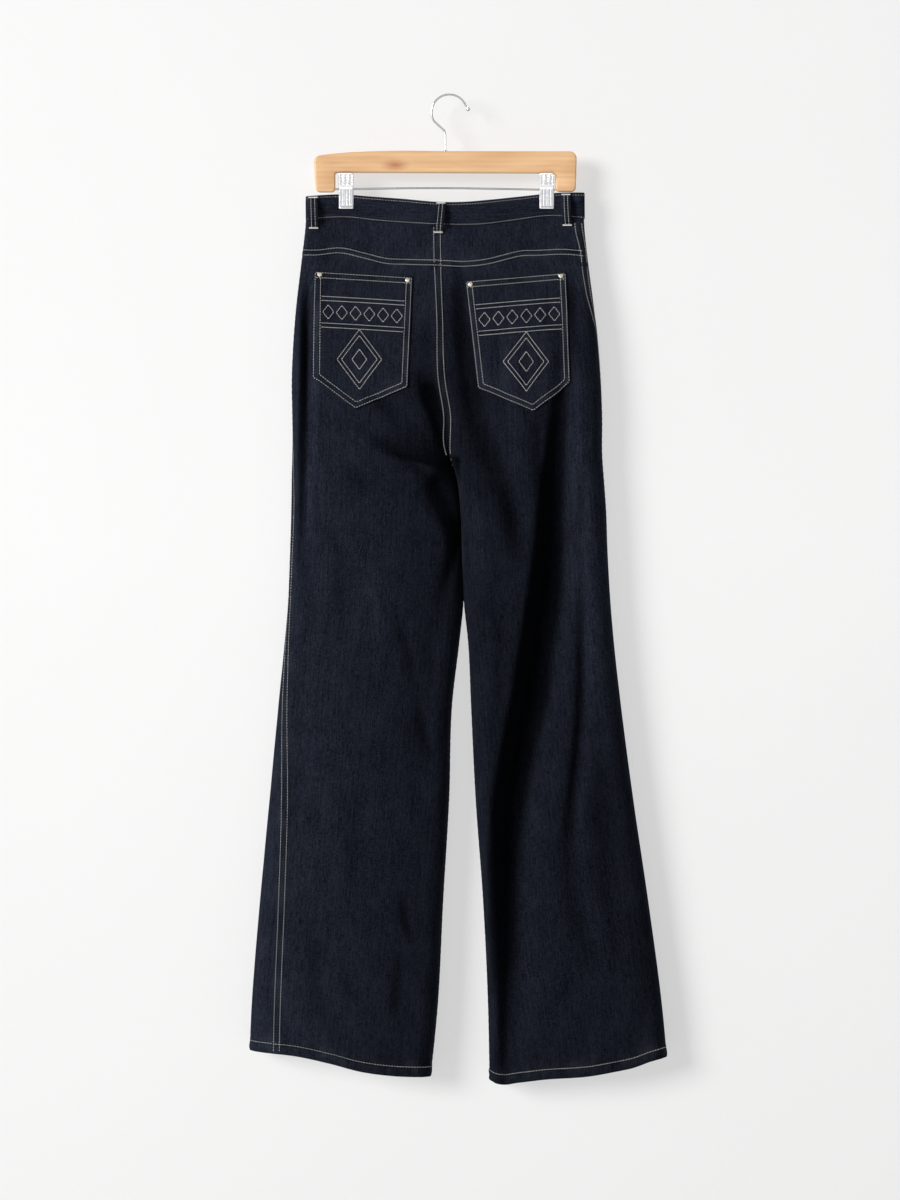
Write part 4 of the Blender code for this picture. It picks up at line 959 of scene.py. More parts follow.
def bandPlaces(along, v, outward, ends, lengths):
    under = (cut["band"] + cut["seamGap"]) * (1 - smoothStep(cut["lapStart"], cut["lapEase"], along))
    wrapped = np.where(along < 0, along + ends[-1], along)
    qRight = np.where(wrapped < ends[1], -1 + wrapped / lengths[0], (wrapped - ends[1]) / lengths[1])
    qLeft = np.where(wrapped < ends[3], 1 - (wrapped - ends[2]) / lengths[2],
                     -(wrapped - ends[3]) / lengths[3])
    onRight = wrapped < ends[2]
    places, outs = np.zeros(along.shape + (3,)), np.zeros(along.shape + (3,))
    levels = np.zeros(along.shape)
    for side, mine, q in (("right", onRight, qRight), ("left", ~onRight, qLeft)):
        leg, q = legs[side], np.clip(q, -1, 1)
        level = np.full(along.shape, cut["bandLevel"])
        for _ in range(2):
            x = legSkin(leg, level, q, False)[0]
            top = readTable(waistTop, "x", "level", x)
            level = top + v * (readTable(waistSeam, "x", "level", x) - top)
        placed, out = skinFrame(leg, np.full(along.shape, cut["bandLevel"]), q, False)
        placed = placed + out * (outward - under + cut["bandProud"])[:, None]
        placed[:, 2] = -level
        places[mine], outs[mine], levels[mine] = placed[mine], out[mine], level[mine]
    return places, outs, levels


def bandLengths():
    level = np.array([cut["bandLevel"]])
    lengths = [float(sectionLength(legs[side], level, np.array([back]))[0]) for side, back in
               (("right", False), ("right", True), ("left", True), ("left", False))]
    return lengths, np.cumsum([0.0] + lengths)


def makeBand():
    lengths, ends = bandLengths()
    whole = ends[-1] + cut["bandUnderlap"]
    across = evenShares(bandCut["columns"])
    down = denseShares(bandCut["rows"], bandCut["gridHeight"], bandCut["closeDown"])

    def place(share, v, inner):
        along = -cut["bandUnderlap"] + share * whole
        toTop, toLow = v * bandCut["height"], (1 - v) * bandCut["height"]
        nearEdge = np.exp(-(toTop / 5) ** 2) + np.exp(-(toLow / 5) ** 2)
        gathered = np.sin(along / 2.1 + 1.5 * wander(along / 19, v, 6.0)) * nearEdge
        wave = bandCut["slowWave"] * wander(along / 17, v * 3.0, 2.7) + bandCut["edgeWave"] * gathered
        facing = foldedEdge(toTop, *bandCut["topFold"]) + foldedEdge(toLow, *bandCut["lowFold"]) + wave
        lining = -cut["band"] - foldedEdge(toTop, *bandCut["innerFold"])
        outward = np.where(inner, lining, facing)
        places, outs, level = bandPlaces(along, v, outward, ends, lengths)
        return places, np.stack([level, along], -1), np.exp(-(np.minimum(toTop, toLow) / 5) ** 2), 1.0

    piece = clothPiece("waistband", across, down, place, 65)
    rows = []
    along = np.linspace(-cut["bandUnderlap"] + bandCut["rowStart"], ends[-1] - bandCut["rowEnd"], 3000)
    for v in (bandCut["topRow"] / bandCut["height"], 1 - bandCut["lowRow"] / bandCut["height"]):
        places, outs, level = bandPlaces(along, np.full(along.shape, v),
                                         np.full(along.shape, bandCut["proud"]), ends, lengths)
        rows.append((places, outs, stitchCut["pitch"], bandCut["stitch"]))
    return piece, makeStitches("stitches_waistband", rows)


pocketCut = {
    "left": {"corners": [(-182.5, 238), (-50, 246), (-56.5, 395), (-127, 424.5), (-183.5, 382.5)],
             "tilt": 0.05},
    "right": {"corners": [(20.5, 251.5), (156.5, 240), (163, 388), (112, 428), (38, 396)],
              "tilt": -0.06},
    "columns": 74, "rows": 84, "width": 134, "height": 170, "edge": (3, 2.2),
    "rowInset": 1.7, "rowGap": 6.6, "hemRows": (2.0, 8.9), "hemInset": 2,
    "turning": (9.0, 11.0), "turningRise": 0.32, "hem": (16.6, 18.8), "hemRise": 0.42,
    # paintedShading: the pocket's level of painted shade
    "slowWave": 0.5, "pucker": 0.12, "belly": 0.9, "bellyReach": 34, "paintedShading": 0.93,
    # the generic design: two double rows with lozenges between, and nested lozenges below
    "designInset": 1.5, "designStitch": (3.05, (2.25, 0.80, 0.74)), "bandRows": (34, 70), "pairGap": 5.6,
    "lozenges": 6, "lozenge": (7.6, 9.6), "medallion": ((30, 40), (24, 32), (10, 13.5)),
    "medallionDepth": 116, "medallionLean": 0.35,
}


def pocketSkin(leg, x, level, outward):
    q = placeOver(leg, level, x, np.ones(x.shape, bool))
    return pushedOut(*skinFrame(leg, level, q), outward)


def pocketRelief(corners, x, level):
    toEdge = toPolygon(corners, x, level)
    top = corners[0][1] + (x - corners[0][0]) / (corners[1][0] - corners[0][0]) * (
        corners[1][1] - corners[0][1])
    turning = pocketCut["turningRise"] * (1 - smoothStep(*pocketCut["turning"], toEdge))
    hem = pocketCut["hemRise"] * (1 - smoothStep(*pocketCut["hem"], level - top))
    slow = pocketCut["slowWave"] * wander(x / 26, level / 34, 3.3) * smoothStep(3, 25, toEdge)
    pucker = pocketCut["pucker"] * np.sin(
        (x + level * 1.1) / 1.5 + 1.6 * wander(x / 16, level / 18, 8.0)) * np.exp(
        -((toEdge - 5) / 5) ** 2)
    belly = pocketCut["belly"] * smoothStep(0, pocketCut["bellyReach"], toEdge)
    return (foldedEdge(toEdge) + np.maximum(turning, hem) + slow + pucker + belly,
            np.exp(-((toEdge - 4) / 6) ** 2))


def pocketPoint(leg, corners, x, level, proud=0.0):  # places on the finished face of a pocket
    lift = cut["patchGap"] + cut["cloth"] + pocketRelief(corners, x, level)[0] + proud
    return pocketSkin(leg, x, level, lift)


def insetLines(corners, distance):  # the outline moved inward, one run of points for each side
    points = [np.array(corner, float) for corner in corners]
    moved = []
    for index, here in enumerate(points):
        before, after = points[index - 1], points[(index + 1) % len(points)]
        a = (here - before) / np.linalg.norm(here - before)
        b = (after - here) / np.linalg.norm(after - here)
        na, nb = np.array([-a[1], a[0]]), np.array([-b[1], b[0]])
        moved.append(here + (na + nb) / (1 + na @ nb) * distance)
    t = np.linspace(0, 1, 400, endpoint=False)[:, None]
    return [here + (after - here) * t for here, after in zip(moved, moved[1:] + moved[:1])]


def makePocket(side):
    leg, corners = legs[side], pocketCut[side]["corners"]
    (x0, l0), (x1, l1), (x2, l2), (x3, l3), (x4, l4) = corners
    tip = (x3 - x4) / (x2 - x4)
    reach, gain = pocketCut["edge"]
    width, height = pocketCut["width"], pocketCut["height"]
    across = denseShares(pocketCut["columns"], width, [(0, reach, gain), (width, reach, gain)])
    down = denseShares(pocketCut["rows"], height, [(0, reach, gain), (height, reach, gain)])
    across[int(np.argmin(abs(across - tip)))] = tip
    tilt = pocketCut[side]["tilt"]

    def place(u, v, inner):
        low = np.where(u < tip, l4 + u / tip * (l3 - l4), l3 + (u - tip) / (1 - tip) * (l2 - l3))
        top = l0 + u * (l1 - l0)
        level = top + v * (low - top)
        xTop, xLow = x0 + u * (x1 - x0), x4 + u * (x2 - x4)
        x = xTop + v * (xLow - xTop)
        relief, nearSeam = pocketRelief(corners, x, level)
        outward = np.where(inner, cut["patchGap"], cut["patchGap"] + cut["cloth"] + relief)
        places = pocketSkin(leg, x, level, outward)[0]
        flat = np.stack([x + tilt * level, level - tilt * x], -1)
        return places, flat, nearSeam, pocketCut["paintedShading"]

    piece = clothPiece("pocket_" + side, across, down, place)
    rows = []

    def sew(points, *own):
        rows.append(pocketPoint(leg, corners, points[:, 0], points[:, 1]) + own)

    for distance in (pocketCut["rowInset"], pocketCut["rowInset"] + pocketCut["rowGap"]):
        for line in insetLines(corners, distance)[1:]:  # the pocket's mouth has its own rows
            sew(line)
    t = np.linspace(0, 1, 400)
    inset = pocketCut["hemInset"]
    for depth in pocketCut["hemRows"]:
        sew(np.stack([x0 + inset + t * (x1 - x0 - 2 * inset), l0 + t * (l1 - l0) + depth], -1))

    slope = (l1 - l0) / (x1 - x0)
    margin = pocketCut["rowInset"] + pocketCut["rowGap"] + pocketCut["designInset"]

    def sideAt(depth):  # the left and right limits for the design
        share = depth / (l4 - l0)
        return x0 + share * (x4 - x0) + margin, x1 + share * (x2 - x1) - margin

    def levelAt(depth, x):
        return l0 + depth + slope * (x - x0)

    def straight(a, b, count):
        u = np.linspace(0, 1, count)[:, None]
        sew(np.array(a) + (np.array(b) - np.array(a)) * u, *pocketCut["designStitch"])

    def lozenge(x, level, wide, high):
        corner = [(x - wide, level), (x, level - high), (x + wide, level), (x, level + high)]
        for a, b in zip(corner, corner[1:] + corner[:1]):
            straight(a, b, 60)

    for start in pocketCut["bandRows"]:
        for depth in (start, start + pocketCut["pairGap"]):
            left, right = sideAt(depth)
            straight((left, levelAt(depth, left)), (right, levelAt(depth, right)), 300)
    middle = (sum(pocketCut["bandRows"]) + pocketCut["pairGap"]) / 2
    left, right = sideAt(middle)
    for index in range(pocketCut["lozenges"]):
        x = left + (index + 0.5) / pocketCut["lozenges"] * (right - left)
        lozenge(x, levelAt(middle, x), *pocketCut["lozenge"])
    left, right = sideAt(pocketCut["medallionDepth"])
    x = (left + right) / 2 + (x3 - (x2 + x4) / 2) * pocketCut["medallionLean"]
    for wide, high in pocketCut["medallion"]:
        lozenge(x, levelAt(pocketCut["medallionDepth"], x), wide, high)
    return piece, makeStitches("stitches_pocket_" + side, rows)


# each loop's middle at its top and foot, the levels of both, and whether it is behind
loopCut = {
    "belt_loop_back_left": (-185, -184, 136.5, 181, True),
    "belt_loop_back_centre": (-12, -16, 144.5, 187, True),
    "belt_loop_back_right": (156.5, 158.5, 132.5, 177, True),
    "belt_loop_front_left": (-88, -90, 139.5, 184, False),
    "belt_loop_front_right": (76, 78, 139.5, 184, False),
    "width": 13.0, "wall": 1.3, "stand": 7.4, "pastBand": (0.75, 0.95), "rise": 0.3, "rowGap": 4.8,
    "ridge": 0.45, "ridgeHalf": 3.6, "pucker": 0.10, "length": 45, "columns": 14, "rows": 44,
    "ownTurn": 0.35,         # how much a loop follows the turn of the cloth over its own width
    "rowEnds": (0.05, 0.95), "tacks": (0.035, 0.965),
}
loopNames = [key for key in loopCut if key.startswith("belt")]


def loopSkin(name, u, v, outward):
    xTop, xLow, top, bottom, back = loopCut[name]
    leg = legs["left" if xTop < cut["centreX"] else "right"]
    level = top + v * (bottom - top)
    x = xTop + v * (xLow - xTop) + (u - 0.5) * loopCut["width"]
    stand = smoothStep(0, loopCut["rise"], v) * smoothStep(0, loopCut["rise"], 1 - v)
    base = cut["patchGap"] + cut["bandProud"] * (1 - smoothStep(*loopCut["pastBand"], v))
    out = base + stand * (loopCut["stand"] - cut["patchGap"]) + outward
    facing = np.full(u.shape, back)
    places, normal = skinFrame(leg, level, placeOver(leg, level, x, facing), False)
    middle = skinFrame(leg, level, placeOver(leg, level, xTop + v * (xLow - xTop), facing), False)[1]
    normal = normal * loopCut["ownTurn"] + middle * (1 - loopCut["ownTurn"])
    return places + normal * out[:, None], normal, x, level


def makeLoop(name):
    def relief(u, v):
        x, toEdge = (u - 0.5) * loopCut["width"], np.minimum(u, 1 - u) * loopCut["width"]
        ridge = loopCut["ridge"] * np.exp(-(x / loopCut["ridgeHalf"]) ** 4)
        pucker = loopCut["pucker"] * np.sin(v * 58 + 2 * np.sin(u * 5))
        ends = np.minimum(v, 1 - v) * loopCut["length"]
        return foldedEdge(toEdge, 1.2, 0.8) + ridge + pucker + foldedEdge(ends, 1.0, 0.6)

    def place(u, v, inner):
        outward = np.where(inner, 0.0, loopCut["wall"] + relief(u, v))
        places, normal, x, level = loopSkin(name, u, v, outward)
        return places, np.stack([x, level], -1), np.full(u.shape, 0.5), 1.0

    def onFace(u, v):
        return loopSkin(name, u, v, loopCut["wall"] + relief(u, v))[:2]

    across, down = evenShares(loopCut["columns"]), evenShares(loopCut["rows"])
    piece = clothPiece(name, across, down, place, 65)
    v = np.linspace(*loopCut["rowEnds"], 200)
    rows = [onFace(np.full(v.shape, 0.5 + side * loopCut["rowGap"] / loopCut["width"]), v)
            for side in (-0.5, 0.5)]
    for v in loopCut["tacks"]:
        places, normal = onFace(np.array([0.5, 0.52]), np.full(2, v))
        across = (places[1] - places[0]) / np.linalg.norm(places[1] - places[0])
        rows.append(barTack(places[0] + normal[0] * stitchCut["tack"]["proud"], normal[0], across))
    return piece, makeStitches("stitches_" + name, rows)


flyCut = {"top": 176.8, "width": 38.0, "length": 172.0, "wall": 1.3, "lap": 5.0, "round": 0.8,
          "columns": 24, "rows": 90, "stitchInsets": (2.0, 8.6), "stitchEnd": 2.4}


def makeFly():
    leg = legs["left"]

    def surface(u, v, outward):
        rounded = flyCut["width"] * flyCut["round"] * (1 - np.sqrt(np.clip(1 - (1 - u) ** 2, 0, 1)))
        level = flyCut["top"] + v * (flyCut["length"] - rounded)
        centre = atLevel(leg["rows"], "inner", level)
        x = centre + flyCut["lap"] - (1 - u) * flyCut["width"]
        q = placeOver(leg, level, np.minimum(x, centre), np.zeros(u.shape, bool))
        base, out = skinFrame(leg, level, q)
        places = base + out * outward[:, None]
        places[:, 0] = x + out[:, 0] * outward
        return places, out, x, level

    def place(u, v, inner):
        toEdge = np.minimum(np.minimum(u, 1 - u) * flyCut["width"], (1 - v) * flyCut["length"])
        wave = 0.3 * wander(u * 2, v * 7, 1.0) + 0.12 * np.sin(v * 90) * np.exp(-(toEdge / 6) ** 2)
        outward = np.where(inner, cut["patchGap"],
                           cut["patchGap"] + flyCut["wall"] + foldedEdge(toEdge) + wave)
        places, out, x, level = surface(u, v, outward)
        return places, np.stack([x, level], -1), np.exp(-(toEdge / 6) ** 2), 1.0

    across, down = evenShares(flyCut["columns"]), evenShares(flyCut["rows"])
    piece = clothPiece("fly", across, down, place, 65)
    rows = []
    t = np.linspace(0.0, 1.0, 300)
    for inset in flyCut["stitchInsets"]:
        edge, low = inset / flyCut["width"], 1 - inset / flyCut["length"]
        end = 1 - flyCut["stitchEnd"] / flyCut["width"]
        u = np.concatenate([np.full(300, edge), edge + (end - edge) * t])
        v = np.concatenate([t * low, np.full(300, low)])
        places, out, x, level = surface(u, v, np.full(u.shape, cut["patchGap"] + flyCut["wall"]))
        rows.append((places, out))
    return piece, makeStitches("stitches_fly", rows)


def spun(name, base, axis, profile, steps=32):  # a turned part: profile rows are radius, height
    turned = bmesh.new()
    verts = [turned.verts.new((r * mm, 0, h * mm)) for r, h in profile]
    edges = [turned.edges.new(pair) for pair in zip(verts, verts[1:])]
    bmesh.ops.spin(turned, geom=verts + edges, cent=(0, 0, 0), axis=(0, 0, 1), angle=tau,
                   steps=steps, use_merge=True)
    bmesh.ops.remove_doubles(turned, verts=turned.verts[:], dist=1e-6)
    turn = Vector(tuple(axis)).to_track_quat("Z", "Y").to_matrix().to_4x4()
    bmesh.ops.transform(turned, verts=turned.verts[:],
                        matrix=Matrix.Translation(Vector(tuple(base * mm))) @ turn)
    facesOut(turned)
    return addPiece(name, meshOf(turned, name, 50))


metalLook = {
    "steel": {"colour": (0.95, 0.95, 0.96, 1), "worn": (0.70, 0.70, 0.71, 1), "rough": (0.08, 0.22)},
    "wire": {"colour": (0.60, 0.60, 0.62, 1), "worn": (0.42, 0.42, 0.43, 1), "rough": (0.14, 0.30)},
    "brass": {"colour": (0.86, 0.78, 0.64, 1), "worn": (0.50, 0.42, 0.31, 1), "rough": (0.20, 0.40)},
}


def makeWear():
    tree, given, result = makeGroup("metalWear", [("Scale", "Float", 400.0)],
                                    [("Worn", "Float"), ("Height", "Float")])
    place = addNode(tree, "ShaderNodeTexCoord").outputs["Object"]
    cloud = addNode(tree, "ShaderNodeTexNoise", {"Vector": place, "Scale": given["Scale"],
                                                 "Detail": 4.0}).outputs["Fac"]
    fine = noise(tree, stretched(tree, place, (1, 1, 0.12)), 2600.0, 2.0)
    worn = calc(tree, "ADD", remap(tree, cloud, 0.45, 0.75, 0, 0.7),
                remap(tree, fine, 0.5, 0.8, 0, 0.35), clamp=True)
    tree.links.new(worn, result["Worn"])
    tree.links.new(calc(tree, "ADD", cloud, calc(tree, "MULTIPLY", fine, 0.4)), result["Height"])
    return tree


wear = makeWear()


def makeMetal(name, look):
    material, tree, shader = makeMaterial(name, Metallic=1.0)
    marks = addNode(tree, "ShaderNodeGroup", node_tree=wear).outputs
    tree.links.new(mixColour(tree, marks["Worn"], look["colour"], look["worn"]),
                   shader.inputs["Base Color"])
    tree.links.new(remap(tree, marks["Worn"], 0, 1, *look["rough"]), shader.inputs["Roughness"])
    bumped(tree, shader, marks["Height"], 0.03 * mm)
    return material


steel = makeMetal("platedSteel", metalLook["steel"])
wireSteel = makeMetal("wireSteel", metalLook["wire"])
brass = makeMetal("paleBrass", metalLook["brass"])

# a profile is radius and height in mm, from the axis out and back to it
rivetCut = {
    "proud": 0.55, "inset": (7.0, 5.0),
    "profile": ((0, 1.35), (0.9, 1.32), (1.5, 1.12), (1.9, 1.2), (2.4, 1.15), (2.9, 0.85), (3.2, 0.4),
                (3.3, 0.0), (0, 0)),
}
buttonCut = {
    "x": -18.0, "level": 158.0, "proud": 0.2,
    "profile": ((0, 2.1), (3.6, 2.1), (4.4, 2.2), (5.0, 2.9), (6.4, 3.1), (7.6, 2.8), (8.4, 1.9),
                (8.5, 1.1), (8.1, 0.5), (4.0, 0.0), (0, 0)),
}


def makeRivets(side):
    leg, corners = legs[side], pocketCut[side]["corners"]
    across, down = rivetCut["inset"]
    for letter, corner, sign in (("a", corners[0], 1), ("b", corners[1], -1)):
        x, level = np.array([corner[0] + sign * across]), np.array([corner[1] + down])
        places, out = pocketPoint(leg, corners, x, level, rivetCut["proud"])
        name = "pocket_" + side + "_rivet_" + letter
        finishPiece(spun(name + "_cap", places[0], out[0], rivetCut["profile"], 24), "trim_metal",
                    [brass], name)


def makeButton():
    x, level = np.array([buttonCut["x"]]), np.array([buttonCut["level"]])
    q = placeOver(legs["left"], level, x, np.array([False]))
    places, out = skinFrame(legs["left"], level, q, False)
    base = places[0] + out[0] * (cut["bandProud"] + buttonCut["proud"])
    finishPiece(spun("waist_button_cap", base, out[0], buttonCut["profile"], 40), "trim_metal", [brass],
                "waist_button")


# corners: x, level and how round each is
barCut = {
    "corners": ((-184.3, 82.0, 9), (-148, 77.2, 24), (-74, 74.2, 34), (-13, 75.4, 24),
                (171.5, 75.6, 10), (170, 129.8, 6), (142.3, 129.8, 5), (142.3, 105.2, 3.5),
                (-154.7, 104.1, 3.5), (-154.7, 130.6, 5), (-180.9, 130.6, 6)),
    "thick": 13.5, "edge": 2.4, "arcSteps": 8,
}


def makeBar():
    outline, corners = [], [np.array(corner[:2]) for corner in barCut["corners"]]
    for index, here in enumerate(corners):
        before, after = corners[index - 1], corners[(index + 1) % len(corners)]
        toBefore = (before - here) / np.linalg.norm(before - here)
        toAfter = (after - here) / np.linalg.norm(after - here)
        for step in range(barCut["arcSteps"] + 1):
            turn = step / barCut["arcSteps"] * math.pi / 2
            outline.append(here + barCut["corners"][index][2] * (
                toBefore * (1 - math.sin(turn)) + toAfter * (1 - math.cos(turn))))
    board = bmesh.new()
    half = barCut["thick"] / 2
    verts = [board.verts.new((x * mm, -half * mm, -level * mm)) for x, level in outline]
    face = board.faces.new(verts)
    made = bmesh.ops.extrude_face_region(board, geom=[face], use_keep_orig=True)
    moved = [v for v in made["geom"] if isinstance(v, bmesh.types.BMVert)]
    bmesh.ops.translate(board, verts=moved, vec=(0, barCut["thick"] * mm, 0))
    bmesh.ops.recalc_face_normals(board, faces=board.faces[:])
    rims = [edge for edge in board.edges
            if any(len(face.verts) > 4 for face in edge.link_faces)]
    bmesh.ops.bevel(board, geom=rims, offset=barCut["edge"] * mm, offset_type="OFFSET", segments=4,
                    profile=0.5, affect="EDGES", material=-1, clamp_overlap=True)
    bmesh.ops.triangulate(board, faces=[face for face in board.faces if len(face.verts) > 4])
    bmesh.ops.recalc_face_normals(board, faces=board.faces[:])
    piece = addPiece("hanger_bar_wood", meshOf(board, "hanger_bar_wood", 38))
    finishPiece(piece, "pale_wood", [makeWood()], "hanger_bar")


woodLook = {
    "pale": (0.72, 0.455, 0.243, 1), "dark": (0.52, 0.270, 0.115, 1), "knot": (0.36, 0.115, 0.040, 1),
    "knotAt": (-0.074, 0.0, -0.094), "rough": 0.42,
}


def makeWood():
    material, tree, shader = makeMaterial("honeyWood", Coat_Weight=0.35, Coat_Roughness=0.22,
                                          Specular_IOR_Level=0.4)
    place = addNode(tree, "ShaderNodeTexCoord").outputs["Object"]
    sway = noise(tree, stretched(tree, place, (5, 8, 22)), 1.0, 2.0)
    parts = addNode(tree, "ShaderNodeSeparateXYZ", {0: place}).outputs
    knot = addNode(tree, "ShaderNodeVectorMath", {0: place, 1: woodLook["knotAt"]},
                   operation="SUBTRACT").outputs[0]
    away = addNode(tree, "ShaderNodeVectorMath", {0: stretched(tree, knot, (0.45, 0.2, 1))},
                   operation="LENGTH").outputs["Value"]
    pull = calc(tree, "POWER", remap(tree, away, 0.0, 0.016, 1.0, 0.0), 2.0)
    height = calc(tree, "ADD", parts[2], calc(tree, "MULTIPLY", parts[1], 0.6))
    rings = calc(tree, "ADD", calc(tree, "MULTIPLY", height, 900.0), calc(tree, "MULTIPLY", sway, 9.0))
    rings = calc(tree, "ADD", rings, calc(tree, "MULTIPLY", pull, 5.0))
    band = calc(tree, "MULTIPLY_ADD", calc(tree, "SINE", rings), 0.5, 0.5)
    fibre = noise(tree, stretched(tree, place, (30, 900, 1500)), 1.0, 3.0, 0.6)
    broad = noise(tree, stretched(tree, place, (9, 30, 60)), 1.0, 2.0)
    share = calc(tree, "ADD", calc(tree, "MULTIPLY", calc(tree, "POWER", band, 3.0), 0.17),
                 remap(tree, fibre, 0.35, 0.75, 0.0, 0.26))
    share = calc(tree, "ADD", share, remap(tree, broad, 0.32, 0.72, -0.12, 0.50), clamp=True)
    colour = mixColour(tree, share, woodLook["pale"], woodLook["dark"])
    edge = calc(tree, "ADD", away, remap(tree, sway, 0.3, 0.7, -0.0012, 0.0012))
    spot = calc(tree, "POWER", remap(tree, edge, 0.0, 0.0105, 0.97, 0.0), 1.4)
    colour = mixColour(tree, spot, colour, woodLook["knot"])
    tree.links.new(colour, shader.inputs["Base Color"])
    tree.links.new(remap(tree, fibre, 0.3, 0.7, woodLook["rough"], woodLook["rough"] + 0.12),
                   shader.inputs["Roughness"])
    bumped(tree, shader, calc(tree, "ADD", fibre, calc(tree, "MULTIPLY", band, 0.3)), 0.12 * mm)
    return material


hookCut = {
    "wire": 1.5, "turn": 23.9, "x": -0.9, "start": 214.0, "end": 20.0, "steps": 90,
    "shank": ((-6.4, 75.1), (-6.4, 52), (-6.8, 48.6), (-8.8, 46)), "shankSteps": 8, "smoothings": 3,
    # the ball tip: x and level from the hook's end, and how much thicker than the wire
    "ball": ((0.9, 1.9, 1.0), (1.5, 2.5, 1.35), (1.9, 3.0, 1.7), (3.2, 4.2, 1.95), (4.4, 5.2, 1.7),
             (4.8, 5.55, 1.2), (5.0, 5.7, 0.7)),
    "collarAt": (-6.4, 0.0, -75.0),
    "collar": ((0, 1.0), (1.6, 1.0), (2.3, 0.95), (3.1, 0.6), (3.4, 0.1), (3.4, -0.4), (0, -0.4)),
}
rodCut = {"radius": 1.4, "from": -154.4, "length": 296.4, "steps": 60,
          "rows": tableOf("share level", (0, 126.4), (0.42, 124.8), (1, 127.2))}


def pathAndTurns(path):
    path = np.array(path, float)
    tangent = np.gradient(path, axis=0)
    return path, tangent / np.linalg.norm(tangent, axis=1, keepdims=True)


def tubeOf(rings, tips=()):  # rings of places in mm, each end flat or drawn in to its tip
    tube = bmesh.new()
    rings = [[tube.verts.new(tuple(spot * mm)) for spot in ring] for ring in rings]
    sides = len(rings[0])
    for a, b in zip(rings, rings[1:]):
        for index in range(sides):
            after = (index + 1) % sides
            tube.faces.new((a[index], a[after], b[after], b[index]))
    for ring, tip in zip((rings[0], rings[-1]), tips):
        point = tube.verts.new(tuple(tip * mm))
        for index in range(sides):
            tube.faces.new((ring[index], ring[(index + 1) % sides], point))
    if not tips:
        tube.faces.new(rings[0])
        tube.faces.new(rings[-1])
    facesOut(tube)
    return tube


def sweptWire(name, path, radii, sides=16):  # a round wire along points in the plane of the hanger
    path, tangent = pathAndTurns(path)
    rings = []
    for here, along, radius in zip(path, tangent, radii):
        side = np.array([along[2], 0, -along[0]])
        rings.append([here + radius * (side * math.cos(angle) + np.array([0, 1, 0]) * math.sin(angle))
                      for angle in np.arange(sides) / sides * tau])
    tips = path[0] - tangent[0] * 0.35, path[-1] + tangent[-1] * 0.35
    return addPiece(name, meshOf(tubeOf(rings, tips), name, 60))


def makeHook():
    centre = hookCut["turn"] - hookCut["wire"]
    rows = []
    for (xa, la), (xb, lb) in zip(hookCut["shank"], hookCut["shank"][1:]):
        for t in np.linspace(0, 1, hookCut["shankSteps"], endpoint=False):
            rows.append((xa + (xb - xa) * t, la + (lb - la) * t, 1.0))
    for angle in np.radians(np.linspace(hookCut["start"], hookCut["end"], hookCut["steps"])):
        rows.append((hookCut["x"] + hookCut["turn"] * math.cos(angle),
                     centre - hookCut["turn"] * math.sin(angle), 1.0))
    endX, endLevel = rows[-1][:2]
    rows += [(endX + x, endLevel + level, swell) for x, level, swell in hookCut["ball"]]
    path = np.array([(x, 0, -level) for x, level, swell in rows])
    swell = np.array([row[2] for row in rows])
    for _ in range(hookCut["smoothings"]):  # but for the ball
        path[1:-8] = path[1:-8] * 0.5 + (path[:-9] + path[2:-7]) * 0.25
    hook = sweptWire("hanger_hook_wire", path, swell * hookCut["wire"])
    finishPiece(hook, "bright_steel", [wireSteel], "hanger_hook")
    collar = spun("hanger_hook_collar", np.array(hookCut["collarAt"]), np.array([0, 0, 1.0]),
                  hookCut["collar"], 24)
    finishPiece(collar, "bright_steel", [wireSteel])


def makeRod():
    shares = np.linspace(0, 1, rodCut["steps"])
    level = readTable(rodCut["rows"], "share", "level", shares)
    path = np.stack([rodCut["from"] + shares * rodCut["length"], np.zeros_like(shares), -level], -1)
    rod = sweptWire("clip_rod_wire", path, np.full(shares.shape, rodCut["radius"]), 12)
    finishPiece(rod, "bright_steel", [wireSteel], "clip_rod")


clipCut = {
    "x": {"left": -140.0, "right": 130.6}, "width": 20.0, "wall": 1.0, "narrow": 0.10,
    "top": 105.5, "height": 48.0, "topRound": 1.6, "columns": 56, "rows": 96,
    "profile": tableOf("level out flange", (105.5, 10.2, 1.6), (110, 9.6, 2.6), (116, 8.6, 4.6),
                       (121.5, 7.6, 5.4), (125.5, 6.9, 5.0), (129, 6.3, 1.4), (134, 5.7, 1.2),
                       (141, 5.4, 1.1), (149, 5.2, 1.1), (153.5, 5.6, 1.1)),
    "bend": 1.5, "dimpleAcross": (-6.3, 0.0, 6.3), "dimpleLevels": (108.6, 112.2, 115.8, 119.4),
    "dimple": (2.3, 1.45, 0.75),  # half width, half height and depth
    "fluteAcross": (-6.9, -2.3, 2.3, 6.9), "fluteTop": (125.0, 128.0), "fluteLow": (148.5, 151.5),
    "flute": (1.15, 0.5),         # half width and rise
    "lipTop": (149.5, 151.5), "lipLow": (152.6, 153.5), "lipRise": 0.9,
}
springCut = {"turns": 4.5, "length": 13, "radius": 3.1, "level": 121.0, "wire": 0.5, "steps": 140,
             "sides": 8}


